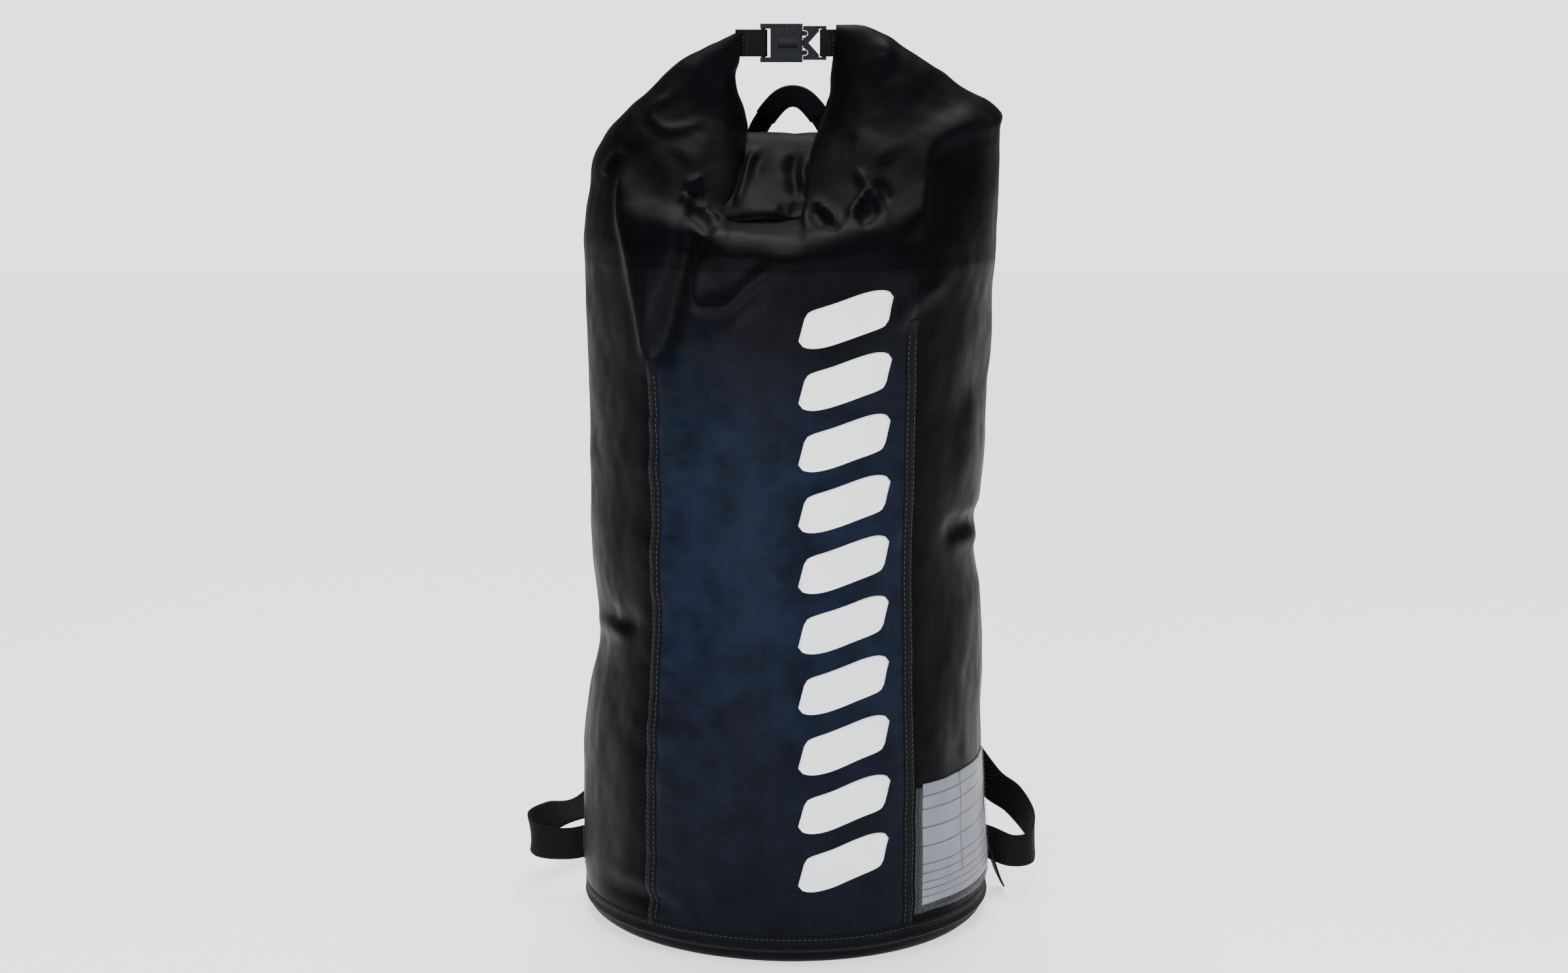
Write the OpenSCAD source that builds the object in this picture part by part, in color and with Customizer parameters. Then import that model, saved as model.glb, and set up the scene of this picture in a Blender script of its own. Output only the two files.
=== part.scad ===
// Roll-top rope storage bag for tree work: a tall round bag of coated fabric whose mouth is
// rolled down, bent up into a carry loop and joined by a side-release buckle, with a haul
// handle, an information pocket and two padded shoulder straps on its back.
// Origin: middle of the base, on the floor. Front is -Y, +X is the bag's right as seen from the front.

/* [Body] */
// Outer radius of the walls at the base
body_r = 152; // [148:0.5:156]
// Outer radius at the slack waist
waist_r = 146; // [142:0.5:150]
// Outer radius just under the shoulders
chest_r = 150; // [147:0.5:153]
// Height at which the wall panels end and the shoulders begin
wall_h = 505; // [495:1:515]
// Thickness of the coated fabric, with its seam allowance
fabric_t = 1.5; // [1:0.1:2]
// Half the angle that the front panel covers
front_half_angle = 38.5; // [36:0.5:41]
// Half the angle that the back panel covers
back_half_angle = 50; // [46:1:54]

/* [Shoulders and roll] */
// Height of the dip between the shoulders
saddle_h = 547; // [544:0.5:549]
// How far the shoulders rise above the dip
shoulder_lift = 26; // [18:1:28]
// Half the length of the roll that stays on top of the bag
roll_half = 62; // [56:1:64]
// Height of the roll
roll_h = 56; // [50:1:57]
// Thickness of the roll
roll_t = 32; // [26:1:36]

/* [Closure arms and buckle] */
// Sideways distance of each arm's bend from the middle
arm_pivot_x = 134; // [130:1:137]
// Height of each arm's bend
arm_pivot_z = 588; // [587:0.5:592]
// Height of the buckle's middle
buckle_z = 664; // [660:1:668]
// Half the height of the buckle's socket
socket_hh = 14.2; // [14:0.1:15]
// Half the thickness of the socket
socket_ht = 4.5; // [4.4:0.1:5]
// Gap around the plug inside the throat, which lets it swing out as the arms part
throat_gap = 1.4; // [1.3:0.1:1.6]

/* [Webbing] */
// Width of the buckle's webbing
tab_w = 20; // [18:1:20]
// Width of the strap webbing
web_w = 25; // [20:1:26]
// Thickness of the webbing
web_t = 1.6; // [1.4:0.1:1.8]

/* [Back straps] */
// Width of each padded strap
pad_w = 58; // [50:1:60]
// Thickness of each padded strap
pad_t = 9; // [7:0.5:10]
// Height of the top of the padded straps
pad_top_z = 466; // [462:1:467]
// Height of the bottom of the padded straps
pad_low_z = 250; // [245:1:255]
// How far the straps bow out from the back
pad_bow = 42; // [30:1:46]

/* [Information pocket] */
// Width of the pocket, measured around the wall
pocket_w = 136; // [120:1:140]
// Height of the pocket
pocket_h = 97; // [88:1:98]
// Height of the pocket's lower edge
pocket_z = 28; // [26:1:50]

/* [Hidden] */
$fn = 96;

FRONT = 266; // azimuth of the front panel's middle, a little left of -Y
BACK = 90;
RIM = 9;     // height of the base's turned-up rim
CLEAR = 0.3; // free gap between pieces that move past each other

// The wall's outer outline from the base seam up, as [radius, height]
WALL = [
    [body_r, RIM], [body_r, 150], [(body_r + waist_r) / 2, 195], [waist_r, 240],
    [waist_r, 330], [(waist_r + chest_r) / 2, 400], [chest_r, 470], [chest_r, wall_h]
];

function lerp(a, b, t) = a + (b - a) * t;
function unit(v) = v / norm(v);
function wall_r(z) = lookup(z, [for (p = WALL) [p[1], p[0]]]);

// Heights between z0 and z1 at which the wall's outline turns, with both ends
function wall_stops(z0, z1) =
    concat([z0], [for (p = WALL) if (p[1] > z0 + 1 && p[1] < z1 - 1) p[1]], [z1]);

// A skin that follows the wall from height z0 to z1, between two distances outside its face
module wall_skin(from_angle, to_angle, z0, z1, inner, outer) {
    stops = wall_stops(z0, z1);
    n = len(stops);
    rotate([0, 0, from_angle])
        rotate_extrude(angle = to_angle - from_angle)
            polygon(concat(
                [for (z = stops) [wall_r(z) + inner, z]],
                [for (i = [n - 1:-1:0]) [wall_r(stops[i]) + outer, stops[i]]]
            ));
}

// Directions along, across and out of a strip at each point of its path
function strip_along(p) = [for (i = [0:len(p) - 1])
    unit(p[min(i + 1, len(p) - 1)] - p[max(i - 1, 0)])];
function strip_across(p, side) = let (a = strip_along(p))
    [for (i = [0:len(p) - 1]) unit(side[i] - (side[i] * a[i]) * a[i])];
function strip_normal(p, side) = let (a = strip_along(p), w = strip_across(p, side))
    [for (i = [0:len(p) - 1]) cross(a[i], w[i])];

// A flat strip swept along a path; side gives the direction of its width at each point
module ribbon(path, side, width, thick) {
    n = len(path);
    across = strip_across(path, side);
    flat = strip_normal(path, side);
    corners = [[-1, -1], [1, -1], [1, 1], [-1, 1]];
    points = [for (i = [0:n - 1], c = corners)
        path[i] + c[0] * width / 2 * across[i] + c[1] * thick / 2 * flat[i]];
    // Opposite faces split along the same diagonal, so a twist keeps its thickness
    sides = [for (i = [0:n - 2], k = [0:3])
        let (a = 4 * i + k, b = a + 4, c = 4 * i + (k + 1) % 4, d = c + 4)
        each k < 2 ? [[a, b, c], [c, b, d]] : [[a, b, d], [a, d, c]]];
    polyhedron(points, concat([[0, 1, 2], [0, 2, 3]], sides,
        [[4 * n - 2, 4 * n - 3, 4 * n - 4], [4 * n - 1, 4 * n - 2, 4 * n - 4]]), convexity = 6);
}

// A smooth path through hand-chosen points (Catmull-Rom), with steps pieces between each pair
function spline_point(p, i, t) =
    let (a = p[max(i - 1, 0)], b = p[i], c = p[i + 1], d = p[min(i + 2, len(p) - 1)])
    0.5 * ((2 * b) + (c - a) * t + (2 * a - 5 * b + 4 * c - d) * t * t
        + (3 * b - a - 3 * c + d) * t * t * t);
function spline(p, steps) = concat(
    [for (i = [0:len(p) - 2], k = [0:steps - 1]) spline_point(p, i, k / steps)],
    [p[len(p) - 1]]
);

// A piece that lies in the XZ plane, extruded along Y about y = 0
module across_y(thick) {
    rotate([90, 0, 0]) linear_extrude(thick, center = true) children();
}

// ---------------------------------------------------------------- walls and base

module panel(from_angle, to_angle) {
    wall_skin(from_angle, to_angle, RIM, wall_h, -fabric_t, 0);
}

module front_panel() {
    color("#1c2030") panel(FRONT - front_half_angle, FRONT + front_half_angle);
}

module left_side_panel() {
    color("#181a24") panel(BACK + back_half_angle, FRONT - front_half_angle);
}

module right_side_panel() {
    color("#181a24") panel(FRONT + front_half_angle, 360 + BACK - back_half_angle);
}

module back_panel() {
    color("#14161e") panel(BACK - back_half_angle, BACK + back_half_angle);
}

piping_angle = 1.6;
piping_t = 1.6;
piping_low = 20;
piping_top = 462;

module seam_piping() {
    seams = [FRONT - front_half_angle, FRONT + front_half_angle,
        BACK - back_half_angle, BACK + back_half_angle];
    color("#242834") for (a = seams)
        wall_skin(a - piping_angle / 2, a + piping_angle / 2, piping_low, piping_top, 0, piping_t);
}

module base_panel() {
    corner = [[138, 0], [146, 1.5], [body_r - 1.5, 5], [body_r, RIM]];
    color("#101218") rotate_extrude() polygon(concat(
        [[0, 0]], corner,
        [[body_r - fabric_t, RIM], [body_r - 1.5 - fabric_t, 5 + fabric_t / 2],
            [145, 1.5 + fabric_t], [138, fabric_t], [0, fabric_t]]
    ));
}

module base_welt() {
    reach = 3;
    color("#20242e") rotate_extrude() polygon([
        [body_r, 10], [body_r + reach - 0.6, 10.6], [body_r + reach, 13],
        [body_r + reach - 0.6, 15.4], [body_r, 16]
    ]);
}

module base_stiffener() {
    color("#3a3c40") translate([0, 0, fabric_t]) cylinder(r = 136, h = 4);
}

// A sewn webbing ring on the inside of the back, for tying off the rope's end
module rope_tie_loop() {
    ring_r = 18;
    ring_z = 62;
    back_y = 148.4;
    color("#202020") translate([0, back_y, ring_z]) rotate([0, 90, 0])
        linear_extrude(tab_w, center = true) {
            difference() {
                circle(r = ring_r);
                circle(r = ring_r - web_t);
                translate([-ring_r - 1, 0]) square([2 * ring_r + 2, ring_r + 1]);
            }
            translate([-30, 0]) square([60, web_t]);
        }
}

// ---------------------------------------------------------------- shoulders and roll

SHELL_STEPS = 10; // rings from the wall's top to the ridge
SHELL_SIDES = 48;
ridge_half = 6;   // half the thickness of the ridge, front to back

// A point of the shoulders: u runs 0 to 1 from the wall's top to the ridge
function shoulder_point(u, angle, inset) =
    let (
        a = lerp(chest_r, 146, u) - inset,
        b = lerp(ridge_half, chest_r, cos(90 * u)) - inset,
        rise = (saddle_h - wall_h) * sin(90 * u),
        lift = shoulder_lift * u * u * pow(cos(angle), 4)
    ) [a * cos(angle), b * sin(angle), wall_h + rise + lift - inset * u];

// The upper bag, drawn in from round to a flat ridge that dips in the middle
module shoulder_shell() {
    n = SHELL_SIDES;
    m = SHELL_STEPS;
    skin_points = (m + 1) * n;
    points = concat(
        [for (j = [0:m], i = [0:n - 1]) shoulder_point(j / m, 360 * i / n, 0)],
        [for (j = [0:m], i = [0:n - 1]) shoulder_point(j / m, 360 * i / n, fabric_t)]
    );
    function at(s, j, i) = s * skin_points + j * n + (i % n);
    function quad(a, b, c, d) = [[a, b, c], [a, c, d]];
    outer = [for (j = [0:m - 1], i = [0:n - 1], f = quad(
        at(0, j, i), at(0, j + 1, i), at(0, j + 1, i + 1), at(0, j, i + 1))) f];
    inner = [for (j = [0:m - 1], i = [0:n - 1], f = quad(
        at(1, j, i), at(1, j, i + 1), at(1, j + 1, i + 1), at(1, j + 1, i))) f];
    rim = [for (i = [0:n - 1], f = quad(
        at(0, 0, i), at(0, 0, i + 1), at(1, 0, i + 1), at(1, 0, i))) f];
    top = [for (s = [0, 1], i = [0:n / 2 - 1], f = (s == 0
        ? quad(at(0, m, i), at(0, m, n - i), at(0, m, n - i - 1), at(0, m, i + 1))
        : quad(at(1, m, i), at(1, m, i + 1), at(1, m, n - i - 1), at(1, m, n - i)))) if (
            f[0] != f[1] && f[1] != f[2] && f[0] != f[2]) f];
    color("#181a26") polyhedron(points, concat(outer, inner, rim, top), convexity = 8);
}

// Fabric folded in between the roll and an arm
module gusset(side) {
    gusset_t = 32;
    color("#14161e") across_y(gusset_t) scale([side, 1]) polygon([
        [roll_half + 4, 550], [112, 559], [121, 564], [121, 577], [104, 585], [roll_half + 4, 598]
    ]);
}

module left_gusset() { gusset(-1); }
module right_gusset() { gusset(1); }

roll_z = saddle_h + 2 + roll_h / 2; // middle of the roll
strip_h = 25;                       // the stiffening strip inside the roll
strip_t = 2;

module roll_centre() {
    r = roll_t / 2;
    color("#1e2232") difference() {
        translate([0, 0, roll_z]) rotate([90, 0, 90]) linear_extrude(2 * roll_half, center = true)
            hull() for (s = [-1, 1]) translate([0, s * (roll_h / 2 - r)]) circle(r = r);
        translate([0, 0, roll_z]) cube([2 * roll_half - 4, strip_t, strip_h], center = true);
    }
}

module mouth_stiffener() {
    color("#50545c") translate([0, 0, roll_z])
        cube([2 * roll_half - 4, strip_t, strip_h], center = true);
}

// ---------------------------------------------------------------- closure arms

// Each station of an arm: [x, z, radius, half thickness]; the first is the bend at the shoulder
LEFT_ARM = [[arm_pivot_x, arm_pivot_z, 12, 24], [108, 612, 20, 26], [80, 628, 24, 20],
    [59, buckle_z - 7, 13, 9]];
RIGHT_ARM = [[arm_pivot_x, arm_pivot_z, 12, 24], [114, 612, 24, 26], [76, 636, 26, 20],
    [48, buckle_z - 5, 13, 9]];

module arm(stations, side) {
    module pillow(s) {
        translate([side * s[0], 0, s[1]]) rotate([90, 0, 0])
            cylinder(r = s[2], h = 2 * s[3] - 6, center = true, $fn = 32);
        translate([side * s[0], 0, s[1]]) rotate([90, 0, 0])
            cylinder(r = s[2] - 3, h = 2 * s[3], center = true, $fn = 32);
    }
    color("#1b1e2c") for (i = [0:len(stations) - 2]) hull() {
        pillow(stations[i]);
        pillow(stations[i + 1]);
    }
}

module left_arm() { arm(LEFT_ARM, -1); }
module right_arm() { arm(RIGHT_ARM, 1); }

// ---------------------------------------------------------------- side-release buckle

bar_r = 1.7;           // round bar that the webbing turns on
socket_bar_x = -22.2;
plug_bar_x = 23;
mouth_x = 7;           // the socket's open end
throat_hh = 12.2;      // half the height of the throat
throat_ht = 3;         // half the depth of the throat
plug_ht = 2.6;         // half the thickness of the plug
plug_hh = 12.5;
latch_root = [9, 7];   // each latch arm's bend, from the buckle's middle
latch_reach = throat_hh - throat_gap;

module at_buckle() {
    translate([0, 0, buckle_z]) children();
}

// Webbing turned round a bar: a flat closed loop from the bar to the arm's end
module webbing_tab(bar_x, end_x) {
    inner = bar_r + CLEAR;
    outer = inner + web_t - 0.2;
    color("#222430") at_buckle() linear_extrude(tab_w, center = true) difference() {
        union() {
            translate([bar_x, 0]) circle(r = outer);
            translate([min(bar_x, end_x), -outer]) square([abs(end_x - bar_x), 2 * outer]);
        }
        translate([bar_x, 0]) circle(r = inner);
        translate([min(bar_x, end_x - 2), -inner])
            square([abs(end_x - bar_x) - 2 + (end_x > bar_x ? 0 : 4), 2 * inner]);
    }
}

module left_tab() { webbing_tab(socket_bar_x, -45.4); }
module right_tab() { webbing_tab(plug_bar_x, 34.4); }

module buckle_socket() {
    body_left = -24.5;
    slit_left = -20.4;
    slit_right = -17;
    slit_hh = 10.5;
    cavity_left = -11;
    window_left = -9;
    window_right = 1;
    color("#15161a") at_buckle() {
        difference() {
            across_y(2 * socket_ht) difference() {
                union() {
                    translate([body_left, -socket_hh])
                        square([mouth_x - body_left - 3, 2 * socket_hh]);
                    translate([mouth_x - 8, -socket_hh]) square([8, 2 * socket_hh]);
                }
                // Open end, with only the two ears and the bar
                translate([body_left - 1, -slit_hh]) square([slit_right - body_left + 1, 2 * slit_hh]);
            }
            // Throat and cavity for the plug
            translate([cavity_left, -throat_ht, -throat_hh])
                cube([mouth_x + 1 - cavity_left, 2 * throat_ht, 2 * throat_hh]);
            // Side windows where the fingers reach the latches
            translate([window_left, -throat_ht, -socket_hh - 1])
                cube([window_right - window_left, 2 * throat_ht, 2 * socket_hh + 2]);
            // Shallow thumb scoops on both faces
            for (s = [-1, 1]) translate([-4, s * (socket_ht + 9.2), 0]) rotate([0, 90, 0])
                cylinder(r = 10, h = 14, center = true);
        }
        translate([socket_bar_x, 0, 0]) cylinder(r = bar_r, h = 2 * slit_hh + 2, center = true);
    }
}

module buckle_plug() {
    base_left = mouth_x + CLEAR;
    base_right = plug_bar_x + 1.8;
    slit_hh = 10.4;
    tongue_left = -9;
    color("#15161a") at_buckle() {
        difference() {
            across_y(2 * plug_ht) union() {
                difference() {
                    translate([base_left, -plug_hh])
                        square([base_right - base_left, 2 * plug_hh]);
                    // Three-cornered window, and the gap that the webbing turns in
                    polygon([[11.5, 0], [19.2, -8.5], [19.2, 8.5]]);
                    translate([19.2, -slit_hh]) square([base_right - 18, 2 * slit_hh]);
                }
                // Middle guide
                translate([tongue_left, -2]) square([base_left - tongue_left + 1, 4]);
            }
            // Seats of the two latch arms
            for (s = [-1, 1]) translate([latch_root[0], 0, s * latch_root[1]]) rotate([90, 0, 0])
                cylinder(r = 1.8 + CLEAR, h = 2 * plug_ht + 2, center = true);
            for (s = [-1, 1]) translate([base_left - 1, -plug_ht - 1, s * 6.6 - 2.6])
                cube([latch_root[0] - base_left + 1, 2 * plug_ht + 2, 5.2]);
        }
        translate([plug_bar_x, 0, 0]) cylinder(r = bar_r, h = 2 * slit_hh + 2, center = true);
    }
}

// A latch arm: springs outward, with a finger pad that shows in the socket's window
module latch(side) {
    color("#1c1d22") at_buckle() across_y(2 * plug_ht - 0.4) scale([1, side]) {
        translate(latch_root) circle(r = 1.8);
        polygon([
            [9, 5.2], [9, 8.8], [4, 9.3], [0.5, latch_reach], [-4.5, latch_reach],
            [-8.5, 8], [-9, 6], [-6, 5.6], [2, 6]
        ]);
    }
}

module upper_latch() { latch(1); }
module lower_latch() { latch(-1); }

// ---------------------------------------------------------------- haul handle

handle_y = 76;        // line that the handle folds about
handle_z = 549;
arch_r = 25;          // middle of the bent grip
leg_top = 601;
grip_band = 15;

module handle_patch() {
    // A sewn reinforcement on the back of the shoulders, under both ends of the handle
    color("#20222a") translate([0, handle_y, handle_z - 5]) rotate([-10.4, 0, 0])
        cube([84, 30, 2], center = true);
}

band_ht = 2.5;        // half the thickness of the folded webbing

// The webbing's section, grown by a margin
module band_outline(margin = 0) {
    translate([-grip_band / 2 - margin, -band_ht - margin])
        square([grip_band + 2 * margin, 2 * (band_ht + margin)]);
}

module haul_handle() {
    color("#1a1b20") translate([0, handle_y, 0]) {
        for (s = [-1, 1]) translate([s * arch_r, 0, handle_z]) rotate([90, 0, 90])
            linear_extrude(grip_band, center = true) polygon([
                [-band_ht, leg_top - handle_z], [-band_ht, 0], [-1.3, -2.1],
                [1.3, -2.1], [band_ht, 0], [band_ht, leg_top - handle_z]
            ]);
        translate([0, 0, leg_top]) rotate([90, 0, 0])
            rotate_extrude(angle = 180) translate([arch_r, 0]) band_outline();
    }
}

module handle_grip() {
    sleeve = 1;
    color("#26282e") translate([0, handle_y, leg_top]) rotate([90, 0, 0])
        rotate([0, 0, 50]) rotate_extrude(angle = 80) translate([arch_r, 0]) difference() {
            band_outline(sleeve);
            band_outline();
        }
}

// ---------------------------------------------------------------- shoulder straps

PAD_STEPS = 14;
pad_in_x = 34;      // the straps' middle at the top, from the bag's middle
pad_out_x = 92;     // and at the bottom
pad_gap = 3;        // free space behind the top of the straps

function back_y(x) = sqrt(chest_r * chest_r - x * x);
function pad_x(t) = lerp(pad_in_x, pad_out_x, t);
function pad_y(t) = back_y(pad_x(t) - pad_w / 2) + pad_t / 2 + pad_gap + pad_bow * sin(180 * t);
function pad_z(t) = lerp(pad_top_z, pad_low_z, t);
function pad_path(side) = [for (i = [0:PAD_STEPS])
    let (t = i / PAD_STEPS) [side * pad_x(t), pad_y(t), pad_z(t)]];
PAD_SIDE = [for (i = [0:PAD_STEPS]) [1, 0, 0]];

module strap_yoke() {
    plate_low = 470;
    plate_top = 503;
    half_angle = 27;
    color("#202228") {
        wall_skin(BACK - half_angle, BACK + half_angle, plate_low, plate_top, 0, 2.4);
        wall_skin(BACK - half_angle, BACK + half_angle, plate_low + 9, plate_top - 9, 2.4, 4);
    }
}

module pad(side) {
    color("#1a1c24") ribbon(pad_path(side), PAD_SIDE, pad_w, pad_t);
}

module left_pad() { pad(-1); }
module right_pad() { pad(1); }

// Load webbing sewn down the outside of a pad
module pad_webbing(side) {
    middle = pad_path(side);
    out = strip_normal(middle, PAD_SIDE);
    lift = pad_t / 2 + web_t / 2 + 0.5;
    color("#262830") ribbon([for (i = [0:PAD_STEPS]) middle[i] - lift * out[i]],
        PAD_SIDE, web_w, web_t);
}

module left_pad_webbing() { pad_webbing(-1); }
module right_pad_webbing() { pad_webbing(1); }

// A strap's local frame: origin at the pad's lower end, -Z down along the adjuster
lock_tilt = -2;      // the adjuster leans in towards the bag
lock_h = 30;
lock_w = 33;
lock_t = 4;
lock_drop = 6;       // gap under the pad's end

module at_lock(side) {
    translate([side * pad_out_x, pad_y(1), pad_low_z - lock_drop]) rotate([lock_tilt, 0, 0])
        children();
}

// Ladder-lock adjuster: a plastic frame with three bars
module ladder_lock(side) {
    slot_w = lock_w - 6;
    color("#15161a") at_lock(side) difference() {
        translate([-lock_w / 2, -lock_t / 2, -lock_h]) cube([lock_w, lock_t, lock_h]);
        for (z = [-8, -17, -26]) translate([-slot_w / 2, -lock_t, z])
            cube([slot_w, 2 * lock_t, 5]);
    }
}

module left_ladder_lock() { ladder_lock(-1); }
module right_ladder_lock() { ladder_lock(1); }

// The strap's free end, which is pulled down through the adjuster to tighten it
module tail(side) {
    tail_len = 112;
    face_y = lock_t / 2 + CLEAR;
    color("#262830") at_lock(side) {
        translate([-web_w / 2, face_y, -tail_len]) cube([web_w, web_t, tail_len - 1]);
        translate([-web_w / 2, face_y - 0.1, -tail_len]) cube([web_w, 2 * web_t + 0.2, 14]);
    }
}

module left_tail() { tail(-1); }
module right_tail() { tail(1); }

// Lower webbing: from its anchor at the side of the base, out in a slack loop and up to the adjuster
LEFT_WEB = [[-156, 24, 41], [-178, 20, 38], [-202, 24, 39], [-208, 43, 45], [-193, 78, 45],
    [-164, 110, 47], [-127, 132, 92], [-92, 138.5, 206]];
RIGHT_WEB = [[157.3, 22, 39.5], [173, 18, 33], [189, 24, 34], [192, 46, 44], [180, 78, 57],
    [160, 104, 68], [130, 128, 112], [92, 138.5, 206]];
WEB_STEPS = 4;

// The left strap turns flat sooner, behind the bag's side, and the right one later
function web_side(n, from, over) = [for (i = [0:n - 1])
    let (t = min(1, max(0, (i / (n - 1) - from) / over))) [t, 0.25 - 0.25 * t, 1.3 - 1.3 * t]];
function left_side(n) = [for (s = web_side(n, 0.32, 0.45)) [-s[0], s[1], s[2]]];

module left_lower_webbing() {
    path = spline(LEFT_WEB, WEB_STEPS);
    color("#262830") ribbon(path, left_side(len(path)), web_w, web_t);
}

module right_lower_webbing() {
    path = spline(RIGHT_WEB, WEB_STEPS);
    color("#262830") ribbon(path, web_side(len(path), 0.4, 0.6), web_w, web_t);
}

// A sewn patch that holds the end of the lower webbing
module anchor_tab(angle, z) {
    half_angle = 9;
    patch_h = 34;
    color("#202228") wall_skin(angle - half_angle, angle + half_angle, z - patch_h / 2,
        z + patch_h / 2, 0, 1);
}

module left_anchor_tab() { anchor_tab(171, 41); }
module right_anchor_tab() { anchor_tab(11, 41); }

// ---------------------------------------------------------------- information pocket and print

pocket_from = FRONT + front_half_angle + 2;
pocket_turn = pocket_w / body_r * 180 / PI;
pocket_top = pocket_z + pocket_h;
edge_w = 6;                                // welded border of the pocket
edge_turn = edge_w / body_r * 180 / PI;
card_gap = 0.3;
card_t = 0.5;
skin_t = 0.6;

// A U-shaped frame, open at the top, that holds the card against the wall
module info_pocket() {
    depth = card_t + 2 * card_gap;
    color("#1f2128") {
        wall_skin(pocket_from, pocket_from + edge_turn, pocket_z, pocket_top, 0, depth);
        wall_skin(pocket_from + pocket_turn - edge_turn, pocket_from + pocket_turn,
            pocket_z, pocket_top, 0, depth);
        wall_skin(pocket_from + edge_turn, pocket_from + pocket_turn - edge_turn,
            pocket_z, pocket_z + edge_w, 0, depth);
    }
}

module info_window() {
    depth = card_t + 2 * card_gap;
    color("#aab4c0", 0.4) wall_skin(pocket_from, pocket_from + pocket_turn,
        pocket_z, pocket_top, depth, depth + skin_t);
}

module info_card() {
    gap_turn = 0.2;
    color("#8d8f9c") wall_skin(pocket_from + edge_turn + gap_turn,
        pocket_from + pocket_turn - edge_turn - gap_turn,
        pocket_z + edge_w + 0.5, pocket_top + 2, card_gap, card_gap + card_t);
}

PRINT_COUNT = 10;
print_z = 58;       // lower edge of the lowest print block
print_pitch = 44;
print_h = 36;
print_from = FRONT + 6;
print_to = FRONT + 31;

// White printed blocks up the front
module front_print() {
    film_t = 0.3;
    color("white") for (i = [0:PRINT_COUNT - 1])
        wall_skin(print_from, print_to, print_z + i * print_pitch,
            print_z + i * print_pitch + print_h, 0, film_t);
}

front_panel();
left_side_panel();
right_side_panel();
back_panel();
seam_piping();
base_panel();
base_welt();
base_stiffener();
rope_tie_loop();
shoulder_shell();
left_gusset();
right_gusset();
roll_centre();
mouth_stiffener();
left_arm();
right_arm();
left_tab();
right_tab();
buckle_socket();
buckle_plug();
upper_latch();
lower_latch();
handle_patch();
haul_handle();
handle_grip();
strap_yoke();
left_pad();
right_pad();
left_pad_webbing();
right_pad_webbing();
left_ladder_lock();
right_ladder_lock();
left_tail();
right_tail();
left_lower_webbing();
right_lower_webbing();
left_anchor_tab();
right_anchor_tab();
info_pocket();
info_window();
info_card();
front_print();
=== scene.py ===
"""Looks of the roll-top rope storage bag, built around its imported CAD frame."""
import math

import bpy  # noqa: E402
import numpy as np  # noqa: E402
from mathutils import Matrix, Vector  # noqa: E402


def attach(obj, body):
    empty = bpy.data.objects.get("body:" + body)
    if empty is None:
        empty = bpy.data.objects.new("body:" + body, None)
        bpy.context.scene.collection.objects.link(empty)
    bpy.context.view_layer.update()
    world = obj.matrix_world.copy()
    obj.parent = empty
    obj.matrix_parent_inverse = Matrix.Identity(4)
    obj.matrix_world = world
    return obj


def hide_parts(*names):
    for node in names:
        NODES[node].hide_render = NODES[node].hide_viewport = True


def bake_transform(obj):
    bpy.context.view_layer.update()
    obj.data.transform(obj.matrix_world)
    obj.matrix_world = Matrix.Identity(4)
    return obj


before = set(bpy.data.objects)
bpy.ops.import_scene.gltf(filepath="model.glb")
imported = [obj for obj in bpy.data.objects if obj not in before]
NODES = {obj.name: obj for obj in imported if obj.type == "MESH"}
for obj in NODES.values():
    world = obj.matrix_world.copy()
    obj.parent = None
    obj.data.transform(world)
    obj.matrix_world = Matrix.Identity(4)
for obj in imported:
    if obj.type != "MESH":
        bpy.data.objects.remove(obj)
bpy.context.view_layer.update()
ARC = 2.62  # millimetres round the wall for each degree
RADIUS = 152.0  # of the CAD wall

# ------------------------------------------------------------------ small helpers (millimetres)


def smooth(a, b, x):
    t = np.clip((np.asarray(x, float) - a) / (b - a), 0, 1)
    return t * t * (3 - 2 * t)


def unit(v):
    return v / np.maximum(np.linalg.norm(v, axis=-1, keepdims=True), 1e-9)


def through(points, t):
    """A smooth line through points given as [t, a, b, ...], read at t."""
    p = np.array(points, float)
    x, y = p[:, 0], p[:, 1:]
    t = np.clip(np.asarray(t, float), x[0], x[-1])
    d = np.gradient(y, x, axis=0)
    k = np.clip(np.searchsorted(x, t, "right") - 1, 0, len(x) - 2)
    h = (x[k + 1] - x[k])[..., None]
    s = ((t - x[k]) / (x[k + 1] - x[k]))[..., None]
    return ((1 + 2 * s) * (1 - s) ** 2 * y[k] + s * (1 - s) ** 2 * h * d[k]
            + s * s * (3 - 2 * s) * y[k + 1] + s * s * (s - 1) * h * d[k + 1])


def along(points, n):
    """n even steps along a smooth line through points."""
    p = np.array(points, float)
    t = np.r_[0, np.cumsum(np.linalg.norm(np.diff(p, axis=0), axis=1))]
    fine = through(np.c_[t, p], np.linspace(0, t[-1], 40 * len(p)))
    s = np.r_[0, np.cumsum(np.linalg.norm(np.diff(fine, axis=0), axis=1))]
    return np.array([np.interp(np.linspace(0, s[-1], n), s, fine[:, i]) for i in range(p.shape[1])]).T


def ripple(points, scale, seed=0.0, detail=2):
    """Smooth noise, about -1 to 1, at each point."""
    p = np.asarray(points, float) / scale + seed * np.array([1.0, -1.0, 0.37])
    out = 0
    for k in range(detail):
        q = p * 2.1 ** k
        cell = np.floor(q)
        f = q - cell
        f = f * f * (3 - 2 * f)
        for c in range(8):
            corner = np.array([c & 1, c >> 1 & 1, c >> 2 & 1])
            h = np.sin((cell + corner) @ np.array([127.1, 311.7, 74.7])) * 43758.5453
            out = out + (2 * (h - np.floor(h)) - 1) * np.prod(np.where(corner, f, 1 - f), -1) * .5 ** k
    return out


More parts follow.
